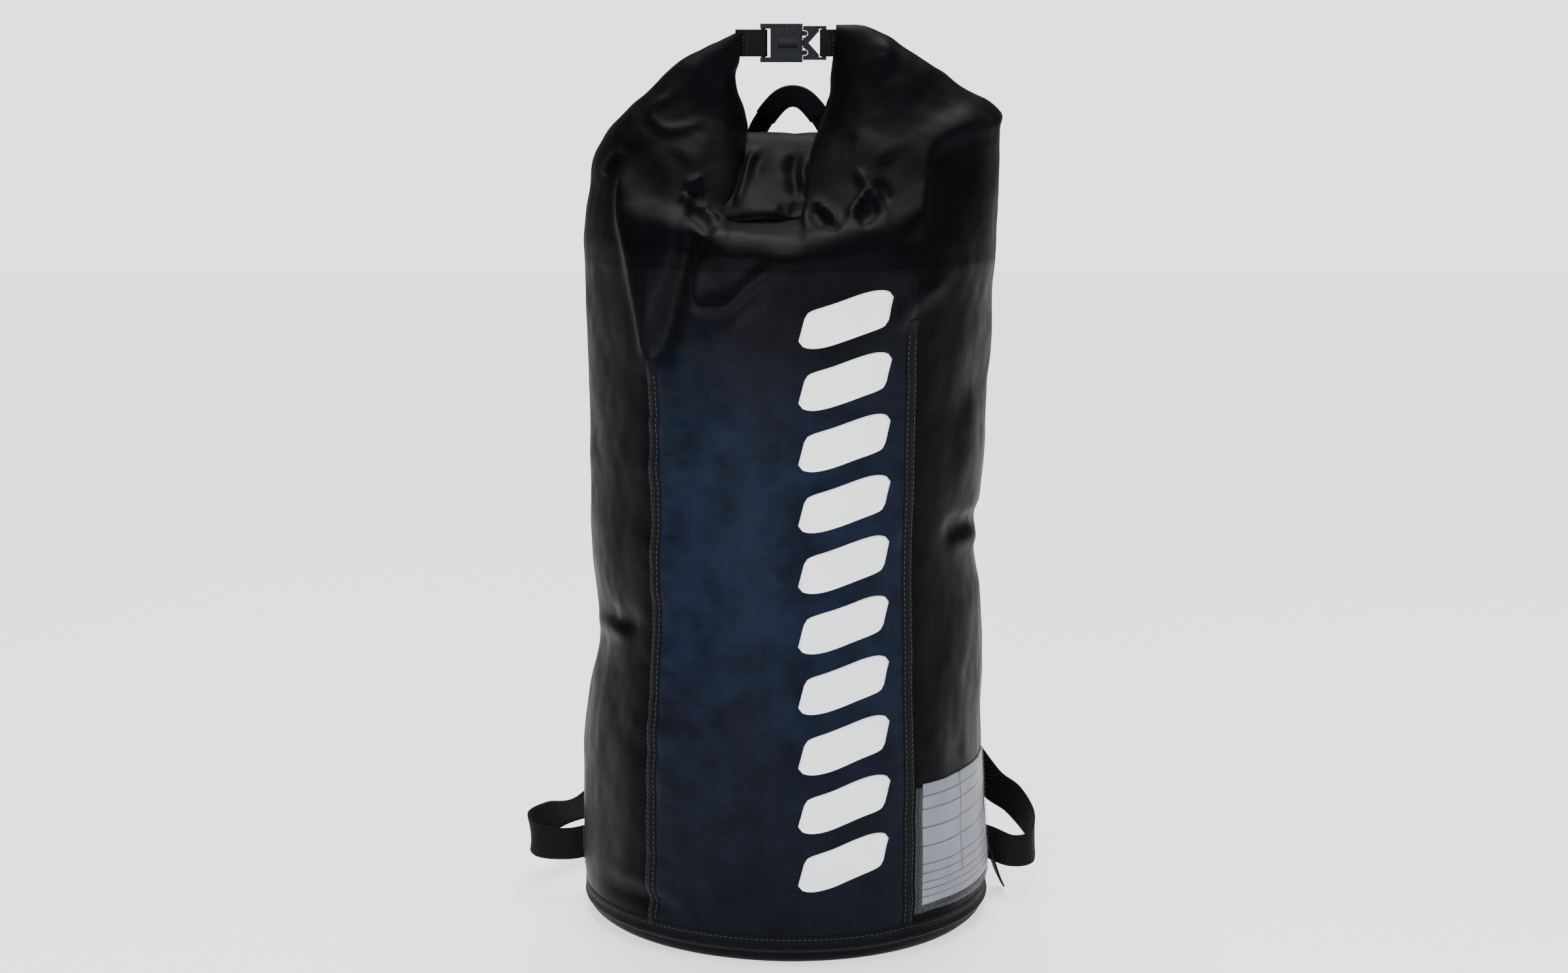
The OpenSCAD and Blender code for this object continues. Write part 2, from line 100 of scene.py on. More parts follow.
def beside(xz, line):
    """Distance to a line in the plane, how far along it (0 to 1), and the side (+1 on its left)."""
    a, b = line[:-1], line[1:]
    ab = b - a
    length = np.linalg.norm(ab, axis=1)
    start = np.r_[0, np.cumsum(length)]
    best = np.full(xz.shape[:-1], 1e9)
    share, side = np.zeros_like(best), np.ones_like(best)
    for k in range(len(a)):
        ap = xz - a[k]
        t = np.clip((ap @ ab[k]) / length[k] ** 2, 0, 1)
        off = ap - t[..., None] * ab[k]
        d = np.linalg.norm(off, axis=-1)
        closer = d < best
        best = np.where(closer, d, best)
        share = np.where(closer, (start[k] + t * length[k]) / start[-1], share)
        cross = ab[k, 0] * ap[..., 1] - ab[k, 1] * ap[..., 0]
        side = np.where(closer, np.sign(cross), side)
    return best, share, side


def crease(xz, points, height, width, lean=0.0, taper=0.25):
    """Rise (or fall) of a fold along a line: lean makes one flank longer and the other steeper."""
    line = along(points, max(6, 5 * len(points)))
    d, s, side = beside(xz, line)
    w = width * (1 + lean * side)
    fade = smooth(0, taper, s) * smooth(0, taper, 1 - s)
    return height * np.exp(-((d / w) ** 2)) * fade


def build(name, verts, faces, body=None, normals=None, cloth=None, smooth_shade=True):
    """A mesh object from millimetres."""
    me = bpy.data.meshes.new(name)
    me.from_pydata((np.asarray(verts, float) / 1000).tolist(), [], [list(map(int, f)) for f in faces])
    me.update()
    if smooth_shade:
        me.polygons.foreach_set("use_smooth", [True] * len(me.polygons))
    if cloth is not None:
        at = me.attributes.new("cloth", "FLOAT_VECTOR", "POINT")
        at.data.foreach_set("vector", (np.asarray(cloth, np.float32) / 1000).ravel())
    if normals is not None:
        me.normals_split_custom_set_from_vertices(np.asarray(normals, float).tolist())
    ob = bpy.data.objects.new(name, me)
    bpy.context.scene.collection.objects.link(ob)
    if body:
        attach(ob, body)
    return ob


def quads(n, m, closed=False):
    """Faces of an n by m grid, whose index is i * m + j."""
    i = np.arange(n if closed else n - 1)
    j = np.arange(m - 1)
    i, j = np.meshgrid(i, j, indexing="ij")
    k = (i + 1) % n
    return np.stack([i * m + j, k * m + j, k * m + j + 1, i * m + j + 1], -1).reshape(-1, 4)


def tube(n, k):
    """Faces of n rings of k points each."""
    i, j = np.meshgrid(np.arange(n - 1), np.arange(k), indexing="ij")
    j2 = (j + 1) % k
    return np.stack([i * k + j, i * k + j2, (i + 1) * k + j2, (i + 1) * k + j], -1).reshape(-1, 4)


def closed(outer, inner):
    """Points and faces of a closed body between two grids of points."""
    n, m = outer.shape[:2]
    f = quads(n, m)
    ring = [(i, 0) for i in range(n)] + [(n - 1, j) for j in range(1, m)] \
        + [(i, m - 1) for i in range(n - 2, -1, -1)] + [(0, j) for j in range(m - 2, 0, -1)]
    ids = np.array([i * m + j for i, j in ring])
    nxt = np.roll(ids, -1)
    side = np.stack([ids, ids + n * m, nxt + n * m, nxt], -1)
    return (np.concatenate([outer.reshape(-1, 3), inner.reshape(-1, 3)]),
            np.concatenate([f, f[:, ::-1] + n * m, side]))


def vertex_normals(v, f):
    n = np.zeros_like(v)
    fn = np.cross(v[f[:, 2]] - v[f[:, 0]], v[f[:, 3]] - v[f[:, 1]])
    for c in range(4):
        np.add.at(n, f[:, c], fn)
    return unit(n)


def material(ob, mat):
    ob.data.materials.clear()
    ob.data.materials.append(mat)
    return ob


# ------------------------------------------------------------------ materials


class Nodes:
    """Short way to write a node tree."""

    def __init__(self, name):
        self.mat = bpy.data.materials.new(name)
        self.mat.use_nodes = True
        self.tree = self.mat.node_tree
        self.tree.nodes.clear()
        self.out = self.tree.nodes.new("ShaderNodeOutputMaterial")
        self.bsdf = self.tree.nodes.new("ShaderNodeBsdfPrincipled")
        self.tree.links.new(self.bsdf.outputs[0], self.out.inputs[0])

    def add(self, kind, inputs=(), out=0, **settings):
        n = self.tree.nodes.new("ShaderNode" + kind)
        for k, v in settings.items():
            setattr(n, k, v)
        for k, v in dict(inputs).items():
            self.put(n.inputs[k], v)
        return n.outputs[out]

    def put(self, socket, v):
        if isinstance(v, bpy.types.NodeSocket):
            self.tree.links.new(v, socket)
        else:
            socket.default_value = v

    def math(self, op, a, b=None, c=None):
        return self.add("Math", {i: x for i, x in enumerate((a, b, c)) if x is not None}, operation=op)

    def mix(self, f, a, b):
        n = self.tree.nodes.new("ShaderNodeMix")
        n.data_type = "RGBA"
        self.put(n.inputs[0], f)
        self.put(n.inputs[6], a)
        self.put(n.inputs[7], b)
        return n.outputs[2]

    def span(self, x, a, b, lo, hi):
        return self.add("MapRange", {0: x, 1: a, 2: b, 3: lo, 4: hi})

    def noise(self, vec, scale, detail=3.0, rough=0.55):
        return self.add("TexNoise", {"Vector": vec, "Scale": scale, "Detail": detail, "Roughness": rough})

    def split(self, vector):
        """The x, y and z of a vector."""
        n = self.tree.nodes.new("ShaderNodeSeparateXYZ")
        self.put(n.inputs[0], vector)
        return n.outputs

    def cloth(self):
        """The cloth's own coordinates, across and along, in metres."""
        return self.split(self.add("Attribute", out=1, attribute_name="cloth"))

    def tones(self, x, a, b, dark, light):
        """Dark turning to light as x goes from a to b."""
        return self.mix(self.span(x, a, b, 0.0, 1.0), dark, light)

    def set(self, **values):
        for k, v in values.items():
            self.put(self.bsdf.inputs[k.replace("_", " ")], v)

    def bump(self, height, distance, strength=1.0, normal=None):
        n = self.tree.nodes.new("ShaderNodeBump")
        n.inputs["Distance"].default_value = distance
        n.inputs["Strength"].default_value = strength
        self.put(n.inputs["Height"], height)
        if normal is not None:
            self.put(n.inputs["Normal"], normal)
        return n.outputs[0]


def rgb(r, g, b):
    return (r, g, b, 1.0)


def place(t):
    return t.add("TexCoord", out=3)


def coated_fabric(name, dark, light, rough=0.42, spec=0.05, low=None):
    """Coated ripstop: a fine square weave with a heavier thread every few rows under a waxy coat."""
    t = Nodes(name)
    xyz = t.cloth()
    here = place(t)

    def thread(x, pitch):
        return t.math("SINE", t.math("MULTIPLY", x, 2 * math.pi / pitch))

    fine = t.math("MULTIPLY", thread(xyz[0], 0.0016), thread(xyz[1], 0.0016))
    heavy = t.math("MAXIMUM", thread(xyz[0], 0.0052), thread(xyz[1], 0.0052))
    heavy = t.span(heavy, 0.78, 1.0, 0.0, 1.0)
    weave = t.math("ADD", t.math("MULTIPLY", fine, 0.35), t.math("MULTIPLY", heavy, 0.55))
    broad = t.noise(here, 9.0, 4.0)
    patch = t.noise(here, 38.0, 3.0)
    fibre = t.noise(here, 420.0, 2.0)
    grime = t.math("ADD", t.math("MULTIPLY", broad, 0.6), t.math("MULTIPLY", patch, 0.4))
    colour = t.tones(grime, 0.38, 0.62, dark, light)
    if low:  # painted sheen: the panel is painted bluer and lighter below the chest, fading towards the top and the foot, where the key light reflects
        high = t.split(here)[2]
        edge = t.math("ADD", high, t.math("MULTIPLY", t.math("SUBTRACT", broad, 0.5), 0.22))
        foot = t.span(high, 0.03, 0.26, 0.25, 1.0)
        # Painted sheen mask: full in the middle of the panel, none above the chest, weaker at the foot
        painted_sheen_mask = t.math("MULTIPLY", t.span(edge, 0.46, 0.38, 0.0, 1.0), foot)
        colour = t.mix(painted_sheen_mask, colour, t.tones(patch, 0.35, 0.65, *low))
    scuffs = t.span(t.noise(here, 75.0, 6.0, 0.7), 0.66, 0.74, 0.0, 0.05)
    colour = t.mix(scuffs, colour, rgb(0.05, 0.052, 0.06))
    colour = t.mix(t.math("MULTIPLY", heavy, 0.03), colour, rgb(0.03, 0.033, 0.045))
    rough_at = t.math("ADD", t.span(grime, 0.35, 0.65, rough - 0.07, rough + 0.09),
                      t.math("MULTIPLY", fibre, 0.06))
    height = t.math("ADD", t.math("MULTIPLY", weave, 0.6), t.math("MULTIPLY", fibre, 0.5))
    crumple = t.bump(t.noise(here, 60.0, 3.0), 0.0009, 0.45)
    t.set(Base_Color=colour, Roughness=rough_at, Normal=t.bump(height, 0.00007, 0.7, crumple),
          Specular_IOR_Level=spec, Sheen_Weight=0.01, Sheen_Roughness=0.4)
    return t.mat


def webbing(name, dark, light, pitch=0.0032, rough=0.68):
    """Woven nylon: rows of slanting ribs, with a raised edge cord; cloth is (across, along)."""
    t = Nodes(name)
    xyz = t.cloth()
    here = place(t)
    zig = t.math("PINGPONG", xyz[0], 0.0031)
    ribs = t.math("SINE", t.math("MULTIPLY", t.math("ADD", xyz[1], zig), 2 * math.pi / pitch))
    cords = t.math("SINE", t.math("MULTIPLY", xyz[0], 2 * math.pi / 0.0021))
    height = t.math("ADD", ribs, t.math("MULTIPLY", cords, 0.6))
    fuzz = t.noise(here, 900.0, 2.0)
    tone = t.noise(here, 30.0, 4.0)
    colour = t.tones(tone, 0.35, 0.65, dark, light)
    # Painted shade: the rib tops are painted lighter and the hollows between the ribs darker
    colour = t.mix(t.span(height, -1.2, 1.2, 0.0, 0.2), colour, rgb(0.012, 0.012, 0.015))
    height = t.math("ADD", height, t.math("MULTIPLY", fuzz, 1.2))
    t.set(Base_Color=colour, Roughness=t.span(fuzz, 0.3, 0.7, rough - 0.06, rough + 0.1),
          Normal=t.bump(height, 0.00022, 0.9),
          Specular_IOR_Level=0.08, Sheen_Weight=0.02, Sheen_Roughness=0.5)
    return t.mat


def plastic(name, dark, light, rough=0.36):
    """Moulded acetal: a fine spark-eroded grain, with rubbed, shinier patches."""
    t = Nodes(name)
    here = place(t)
    grain = t.noise(here, 1500.0, 2.0)
    rubbed = t.noise(here, 60.0, 4.0, 0.6)
    colour = t.tones(rubbed, 0.4, 0.66, dark, light)
    lines = t.span(t.noise(t.add("Mapping", {"Vector": here, "Scale": (900.0, 900.0, 60.0)}), 1.0, 2.0),
                   0.62, 0.72, 0.0, 0.12)
    colour = t.mix(lines, colour, rgb(0.12, 0.12, 0.13))
    t.set(Base_Color=colour, Roughness=t.span(rubbed, 0.3, 0.7, rough + 0.1, rough - 0.08),
          Normal=t.bump(grain, 0.00007, 0.7), Specular_IOR_Level=0.15)
    return t.mat


def mesh_cloth(name):
    """Spacer mesh of the strap padding: a honeycomb of small holes."""
    t = Nodes(name)
    here = place(t)
    cells = t.add("TexVoronoi", {"Vector": here, "Scale": 420.0})
    tone = t.noise(here, 25.0, 4.0)
    holes = t.span(cells, 0.2, 0.55, 1.0, 0.0)
    colour = t.tones(tone, 0.35, 0.65, rgb(0.005, 0.005, 0.0065), rgb(0.009, 0.0095, 0.012))
    # Painted shade: the holes are painted darker than the threads round them
    colour = t.mix(t.math("MULTIPLY", holes, 0.6), rgb(0.018, 0.0185, 0.022), colour)
    t.set(Base_Color=colour, Roughness=t.span(tone, 0.3, 0.7, 0.78, 0.9),
          Normal=t.bump(cells, 0.0006, 0.8), Sheen_Weight=0.06)
    return t.mat


def print_ink(name):
    """Screen-printed white ink: slightly chalky, thin where the weave shows and cracked at folds."""
    t = Nodes(name)
    here = place(t)
    xyz = t.cloth()
    weave = t.math("MULTIPLY", t.math("SINE", t.math("MULTIPLY", xyz[0], 3900.0)),
                   t.math("SINE", t.math("MULTIPLY", xyz[1], 3900.0)))
    wear = t.noise(here, 70.0, 6.0, 0.7)
    colour = t.tones(t.noise(here, 12.0, 3.0), 0.35, 0.65,
                     rgb(0.88, 0.88, 0.89), rgb(0.94, 0.94, 0.94))
    colour = t.mix(t.span(wear, 0.66, 0.80, 0.0, 0.25), colour, rgb(0.45, 0.46, 0.5))
    t.set(Base_Color=colour, Roughness=t.span(wear, 0.3, 0.7, 0.42, 0.58),
          Normal=t.bump(weave, 0.00008, 0.6))
    return t.mat


def thread(name, colour, lit):
    t = Nodes(name)
    here = place(t)
    twist = t.noise(here, 1400.0, 2.0)
    t.set(Base_Color=t.mix(twist, colour, lit), Roughness=t.span(twist, 0.3, 0.7, 0.5, 0.7),
          Normal=t.bump(twist, 0.0002, 0.8))
    return t.mat


def card_paper(name):
    """Printed form under vinyl: ruled lines and a centre rule, no writing; cloth is (across, up)."""
    t = Nodes(name)
    xyz = t.cloth()
    here = place(t)
    wobble = t.math("MULTIPLY", t.math("SUBTRACT", t.noise(here, 30.0, 2.0), 0.5), 0.0012)

    def rule(x, at_m, half):
        d = t.math("ABSOLUTE", t.math("SUBTRACT", t.math("ADD", x, wobble), at_m))
        return t.span(d, half * 0.6, half * 1.6, 1.0, 0.0)

    lines = None
    for k, z in enumerate((0.0060, 0.0115, 0.0170, 0.0240, 0.0310, 0.0450, 0.0590, 0.0730, 0.0830)):
        r = rule(xyz[1], z, 0.00055 if k > 4 else 0.00045)
        lines = r if lines is None else t.math("MAXIMUM", lines, r)
    middle = t.math("MULTIPLY", rule(xyz[0], 0.047, 0.0008),
                    t.span(xyz[1], 0.0168, 0.0172, 0.0, 1.0))
    lines = t.math("MAXIMUM", lines, middle)
    stain = t.noise(here, 26.0, 5.0, 0.65)
    colour = t.tones(stain, 0.32, 0.68, rgb(0.15, 0.158, 0.20), rgb(0.25, 0.26, 0.31))
    colour = t.mix(t.math("MULTIPLY", lines, 0.9), colour, rgb(0.012, 0.012, 0.02))
    t.set(Base_Color=colour, Roughness=t.span(stain, 0.3, 0.7, 0.45, 0.65),
          Normal=t.bump(t.noise(here, 90.0, 3.0), 0.0004, 0.5))
    return t.mat


def clear_vinyl(name):
    t = Nodes(name)
    here = place(t)
    wave = t.noise(here, 45.0, 3.0)
    t.set(Base_Color=t.mix(wave, rgb(0.10, 0.105, 0.13), rgb(0.16, 0.165, 0.19)),
          Roughness=t.span(wave, 0.3, 0.7, 0.12, 0.3), Normal=t.bump(wave, 0.0012, 0.6),
          Alpha=0.10, IOR=1.5)
    return t.mat


def floor_paint(name):
    t = Nodes(name)
    here = place(t)
    tone = t.noise(here, 2.0, 3.0)
    t.set(Base_Color=t.mix(tone, rgb(0.86, 0.86, 0.86), rgb(0.90, 0.90, 0.90)),
          Roughness=t.span(tone, 0.3, 0.7, 0.8, 0.9), Normal=t.bump(t.noise(here, 300.0, 2.0), 0.0001, 0.3),
          Emission_Color=rgb(1, 1, 1), Emission_Strength=1.1)
    return t.mat


# The front fabric's low tones paint a bluish sheen on the panel below the chest
FRONT_FABRIC = coated_fabric("front_fabric", rgb(0.0015, 0.0014, 0.0021), rgb(0.0025, 0.0025, 0.0040), 0.42,
                             low=(rgb(0.0020, 0.0040, 0.0100), rgb(0.0052, 0.0100, 0.0225)))
SIDE_FABRIC = coated_fabric("side_fabric", rgb(0.0011, 0.0010, 0.0014), rgb(0.0020, 0.0020, 0.0030),
                            0.44, 0.035)
BASE_FABRIC = coated_fabric("base_fabric", rgb(0.0012, 0.0012, 0.0015), rgb(0.0020, 0.0020, 0.0025),
                            0.5, 0.035)
SEAM_TAPE = webbing("seam_tape", rgb(0.0016, 0.0018, 0.0028), rgb(0.0030, 0.0034, 0.0050), 0.0022, 0.55)
WEB = webbing("strap_webbing", rgb(0.0030, 0.0030, 0.0034), rgb(0.0056, 0.0056, 0.0064))
PLASTIC = plastic("buckle_acetal", rgb(0.0030, 0.0034, 0.0052), rgb(0.0055, 0.0060, 0.0085))
PAD_MESH = mesh_cloth("spacer_mesh")
INK = print_ink("white_ink")
THREAD = thread("black_thread", rgb(0.010, 0.010, 0.012), rgb(0.035, 0.036, 0.042))
CARD = card_paper("ruled_card")
VINYL = clear_vinyl("window_vinyl")
POCKET = plastic("pocket_vinyl", rgb(0.003, 0.003, 0.0042), rgb(0.005, 0.005, 0.007), 0.46)
BOARD = plastic("stiffener_board", rgb(0.03, 0.032, 0.034), rgb(0.05, 0.052, 0.055), 0.6)

# ------------------------------------------------------------------ the bag's cloth

# Outlines of the wall seen from the front: height, left reach, right reach
OUTLINE = [
    [0, 156, 147], [11, 159.5, 149.5], [19, 161, 150], [28, 162, 151], [84, 162.5, 148], [125, 162, 146],
    [166, 157.5, 145], [186, 154, 146], [206, 149, 146], [226, 147.5, 145], [246, 149.5, 144],
    [266, 152, 141], [286, 153.5, 138.5], [306, 154, 138.5], [326, 153, 142], [365, 153.5, 146],
    [405, 153.5, 145.5], [443, 154, 149.5], [482, 155.5, 150], [505, 156.5, 152.5],
]
LEFT_SEAM, RIGHT_SEAM = -42.5, 34.5
BACK_SEAMS = (130.0, -130.0)
WALL_LOW, WALL_TOP = 9.0, 505.0
SHORE = 0.34  # how far up the closure the front and back shoulders end under the roll


def wall(phi, z):
    """A point of the wall before its folds; phi is degrees from the front, + to the right."""
    a = np.radians(phi)
    both = through(OUTLINE, z)
    base = np.interp(z, [0, 150, 195, 240, 330, 400, 470, 505],
                     [151.5, 151.5, 149, 147, 147, 148, 149.5, 149.5])
    side = np.abs(np.sin(a)) ** 3
    reach = np.where(np.sin(a) < 0, both[..., 0], both[..., 1])
    r = base * (1 - side) + reach * side
    return np.stack([r * np.sin(a), -r * np.cos(a), z + 0 * a], -1)


# Edges of the left and right halves of the upper bag: share of the way up, x, y, z
LEFT_EDGE = [
    [.075, -157, 0, 521], [.16, -155, 0, 540], [.25, -152, 0, 559],
    [.36, -148, 0, 583], [.42, -138.5, 0, 597], [.49, -128.5, 0, 608], [.56, -118.5, 0, 618.5],
    [.63, -107, 0, 630.5], [.71, -95.5, 0, 641], [.79, -83, 0, 651], [.86, -70, 0, 658.5],
    [.93, -54, 0, 666.5], [1, -38, 0, 674.2],
]
RIGHT_EDGE = [
    [.07, 153, 0, 521], [.15, 154, 0, 540], [.23, 154.5, 0, 559], [.33, 155, 0, 584],
    [.40, 156, 0, 602], [.455, 156, 0, 613], [.49, 148, 0, 621], [.56, 131, 0, 631], [.64, 113, 0, 642.5],
    [.72, 97, 0, 652.5], [.80, 81, 0, 662], [.87, 66, 0, 670], [.93, 50, 0, 676.5], [1, 32, 0, 678],
]
# Inner edges, which fold over the roll's middle and then run round the carry hole
LEFT_FOLD = [
    [.10, -43.5, -141, 518], [.20, -45, -128, 530], [SHORE, -45, -88, 543],
    [.48, -40, -54, 569], [.62, -34, -24, 592], [.68, -33, -13, 600], [.74, -34, -8, 610],
    [.84, -39, -5, 628], [.90, -41.5, -4, 639], [1, -39, -3, 650],
]
RIGHT_FOLD = [
    [.10, 2, -147, 518], [.20, 4, -132, 530], [SHORE, 5, -90, 543],
    [.48, 9, -54, 569], [.62, 17, -24, 598], [.70, 23.5, -12, 615], [.78, 27, -8, 627],
    [.88, 28, -5, 640], [1, 30, -3, 652],
]
# The same edges on the back, where the roll's ends meet the shoulders
LEFT_REAR = [
    [.10, -62, 127, 522], [.20, -62, 92, 538], [SHORE, -61, 26, 549],
    [.48, -54, 19, 572], [.62, -38, 8, 592], *LEFT_FOLD[5:],
]
RIGHT_REAR = [
    [.10, 62, 127, 522], [.20, 62, 92, 538], [SHORE, 61, 26, 549],
    [.48, 50, 19, 575], [.62, 28, 6, 598], *RIGHT_FOLD[5:],
]
REAR_HALF = math.degrees(math.asin(62 / 149.5))
for line, angle in ((LEFT_EDGE, -90.0), (RIGHT_EDGE, 90.0), (LEFT_FOLD, -16.7), (RIGHT_FOLD, 0.0),
                    (LEFT_REAR, 180 + REAR_HALF), (RIGHT_REAR, 180 - REAR_HALF)):
    line.insert(0, [0, *wall(np.array(angle), np.array(WALL_TOP))])  # each line starts on the wall


def spans(step):
    """Columns round the bag as (region, angles): both front halves, the middle, and the same behind."""
    marks = [("left_front", -90, -16.7), ("middle", -16.7, 0), ("right_front", 0, 90),
             ("right_rear", 90, 180 - REAR_HALF), ("rear_middle", 180 - REAR_HALF, 180 + REAR_HALF),
             ("left_rear", 180 + REAR_HALF, 270)]
    out = []
    for name, a, b in marks:
        n = max(4, round((b - a) / step))
        out.append((name, np.linspace(a, b, n + 1)))
    return out


def half(region, phi, v):
    """A point of one quarter of the upper bag, between its outer edge (u = 0) and its inner one."""
    edge, fold, inner = {
        "left_front": (LEFT_EDGE, LEFT_FOLD, -16.7), "right_front": (RIGHT_EDGE, RIGHT_FOLD, 0.0),
        "left_rear": (LEFT_EDGE, LEFT_REAR, 180 + REAR_HALF),
        "right_rear": (RIGHT_EDGE, RIGHT_REAR, 180 - REAR_HALF)}[region]
    outer = {"left_front": -90.0, "right_front": 90.0, "left_rear": 270.0, "right_rear": 90.0}[region]
    u = (phi - outer) / (inner - outer)
    low = wall(phi, np.full_like(phi, WALL_TOP))
    o, c = through(edge, v), through(fold, v)
    o1, c1 = through(edge, 1.0), through(fold, 1.0)
    top = o1 + (c1 - o1) * u[..., None]
    o0, c0 = through(edge, 0.0), through(fold, 0.0)
    U, V = u[..., None], v[..., None]
    p = ((1 - V) * low + V * top + (1 - U) * o + U * c
         - ((1 - U) * (1 - V) * o0 + U * (1 - V) * c0 + (1 - U) * V * o1 + U * V * c1))
    # The flattened tube keeps a rounded, padded section up to its sewn end
    front = -1.0 if region.endswith("front") else 1.0
    thick = np.interp(v, [0, .12, .3, .5, .7, .85, 1], [0, 3, 12, 19, 18, 13, 5])
    if region == "right_front":
        thick = thick * 1.1
    round_out = np.sqrt(np.clip(1 - (1 - np.clip(u / .34, 0, 1)) ** 2, 0, 1))
    round_in = np.sqrt(np.clip(1 - (1 - np.clip((1 - u) / .30, 0, 1)) ** 2, 0, 1))
    proud = .35 * smooth(SHORE, .42, v) * smooth(.66, .55, v)  # the fold over the roll stands proud
    p[..., 1] += front * thick * round_out * (round_in + (1 - round_in) * proud)
    return p


def tuck(region, v):
    """The cloth that turns under at the fold over the roll: two more columns beyond the inner edge."""
    fold = {"left_front": -16.7, "right_front": 0.0}[region]
    edge = half(region, np.full_like(v, fold), v)
    out = 1.0 if region == "right_front" else -1.0
    fade = (smooth(SHORE, .40, v) * smooth(.70, .62, v))[..., None]
    steps = [np.array([0.8 * out, 1.8, 0]), np.array([4.0 * out, 3.2, 0]), np.array([14.0 * out, 4.5, 0])]
    return [edge] + [edge + fade * s for s in steps]


def middle(region, phi, v):
    """The shoulder under the roll, from the wall's top to the roll's lower edge."""
    a, b = (LEFT_FOLD, RIGHT_FOLD) if region == "middle" else (RIGHT_REAR, LEFT_REAR)
    lo, hi = phi.min(), phi.max()
    s = ((phi - lo) / (hi - lo))[..., None]
    low = wall(phi, np.full_like(phi, WALL_TOP))
    pa, pb = through(a, v), through(b, v)
    a0, b0 = through(a, 0.0), through(b, 0.0)
    keep = (1 - v / SHORE)[..., None]
    p = (1 - s) * pa + s * pb + keep * (low - ((1 - s) * a0 + s * b0))
    return p


# Folds seen on the front: (x, z) points, height, width, lean, taper
FRONT_FOLDS = [
    ([(-121, 584), (-124, 550), (-116, 508), (-104, 446), (-99, 420)], 5.5, 8, .45, .18),
    ([(-141, 566), (-134, 577), (-122, 588)], 3.0, 5, 0, .3),
    ([(-73, 548), (-80, 513), (-93, 466), (-100, 428)], -9.0, 10, .3, .2),
    ([(-61, 531), (-72, 498), (-70, 482), (-52, 479), (-31, 496), (-8, 510), (14, 512)], 3.6, 5.5, .45, .25),
    ([(-54, 520), (-58, 498), (-46, 490), (-30, 502), (-8, 519)], -3.0, 10, .2, .35),
    ([(-88, 462), (-60, 454), (-24, 478), (10, 500)], 2.6, 13, .2, .4),
    ([(150, 610), (118, 598), (100, 588), (93, 560), (90, 522)], 5.5, 9, -.4, .2),
    ([(80, 560), (78, 530), (72, 500)], -4.0, 16, 0, .4),
    ([(112, 500), (88, 484), (72, 470), (66, 482)], 3.0, 7, 0, .3),
    ([(64, 545), (76, 505), (78, 484), (80, 462)], 2.5, 6, 0, .3),
    ([(-82, 558), (-68, 550), (-52, 538)], 4.6, 3.0, -.5, .2),
    ([(-78, 551), (-64, 542), (-54, 532)], -5.0, 5.5, 0, .3),
    ([(-80, 566), (-72, 563), (-66, 570)], 3.2, 2.8, .3, .3),
    ([(-76, 560), (-70, 556), (-62, 560)], -3.0, 3.4, 0, .35),
    ([(8, 534), (13, 549), (33, 538)], 4.0, 3.0, .4, .2),
    ([(12, 538), (22, 540), (34, 534)], -3.5, 4, 0, .3),
    ([(38, 540), (46, 549), (55, 560)], 4.2, 3.0, .4, .22),
    ([(44, 538), (54, 545), (62, 552)], -4.5, 5, 0, .3),
    ([(44, 576), (52, 566), (66, 548)], 4.0, 3.2, -.4, .3),
    ([(56, 564), (63, 562), (70, 552)], -3.6, 3.6, 0, .35),
    ([(-86, 632), (-104, 610), (-98, 604), (-62, 606)], 2.6, 4, 0, .25),
    ([(-62, 600), (-74, 590), (-84, 578)], 2.4, 11, .2, .3),
    ([(62, 668), (70, 656), (60, 646)], 2.2, 5, 0, .35),
    ([(40, 600), (56, 590), (70, 576)], 2.4, 12, -.2, .3),
    ([(-58, 640), (-50, 626), (-42, 600)], 2.2, 6, 0, .3),
    ([(-150, 246), (-130, 240), (-108, 250)], -3.0, 9, .2, .35),
    ([(-150, 222), (-134, 232), (-116, 226)], 3.0, 7, 0, .35),
    ([(146, 318), (126, 312), (108, 322)], -4.0, 9, .2, .35),
    ([(146, 292), (128, 300), (112, 294)], 3.0, 8, 0, .35),
    ([(142, 420), (128, 380), (126, 340)], 2.5, 10, 0, .35),
    ([(-148, 30), (-126, 38), (-76, 31)], -3.0, 7, 0, .3),
    ([(-146, 46), (-120, 52), (-84, 42)], 1.8, 8, 0, .3),
    ([(130, 40), (100, 28), (60, 22)], -2.0, 7, 0, .35),
]
# The same on the back, where the straps pull the yoke and the shoulders down
REAR_FOLDS = [
    ([(-120, 590), (-112, 560), (-96, 520), (-84, 470)], 4.5, 10, .3, .25),
    ([(122, 590), (110, 556), (96, 520), (86, 474)], 4.5, 10, -.3, .25),
    ([(-70, 556), (-80, 530), (-72, 505)], -5.0, 9, 0, .3),
    ([(70, 556), (78, 530), (74, 505)], -5.0, 9, 0, .3),
    ([(-80, 574), (-70, 562), (-56, 552)], 4.0, 5, 0, .3),
    ([(80, 574), (70, 562), (58, 552)], 4.0, 5, 0, .3),
    ([(-120, 250), (-70, 236), (-20, 244)], -3.0, 12, .2, .35),
    ([(110, 300), (70, 312), (30, 300)], -3.0, 12, 0, .35),
    ([(-96, 400), (-60, 380), (-20, 392)], 2.2, 12, 0, .35),
    ([(96, 180), (60, 168), (10, 180)], 2.2, 12, 0, .35),
]


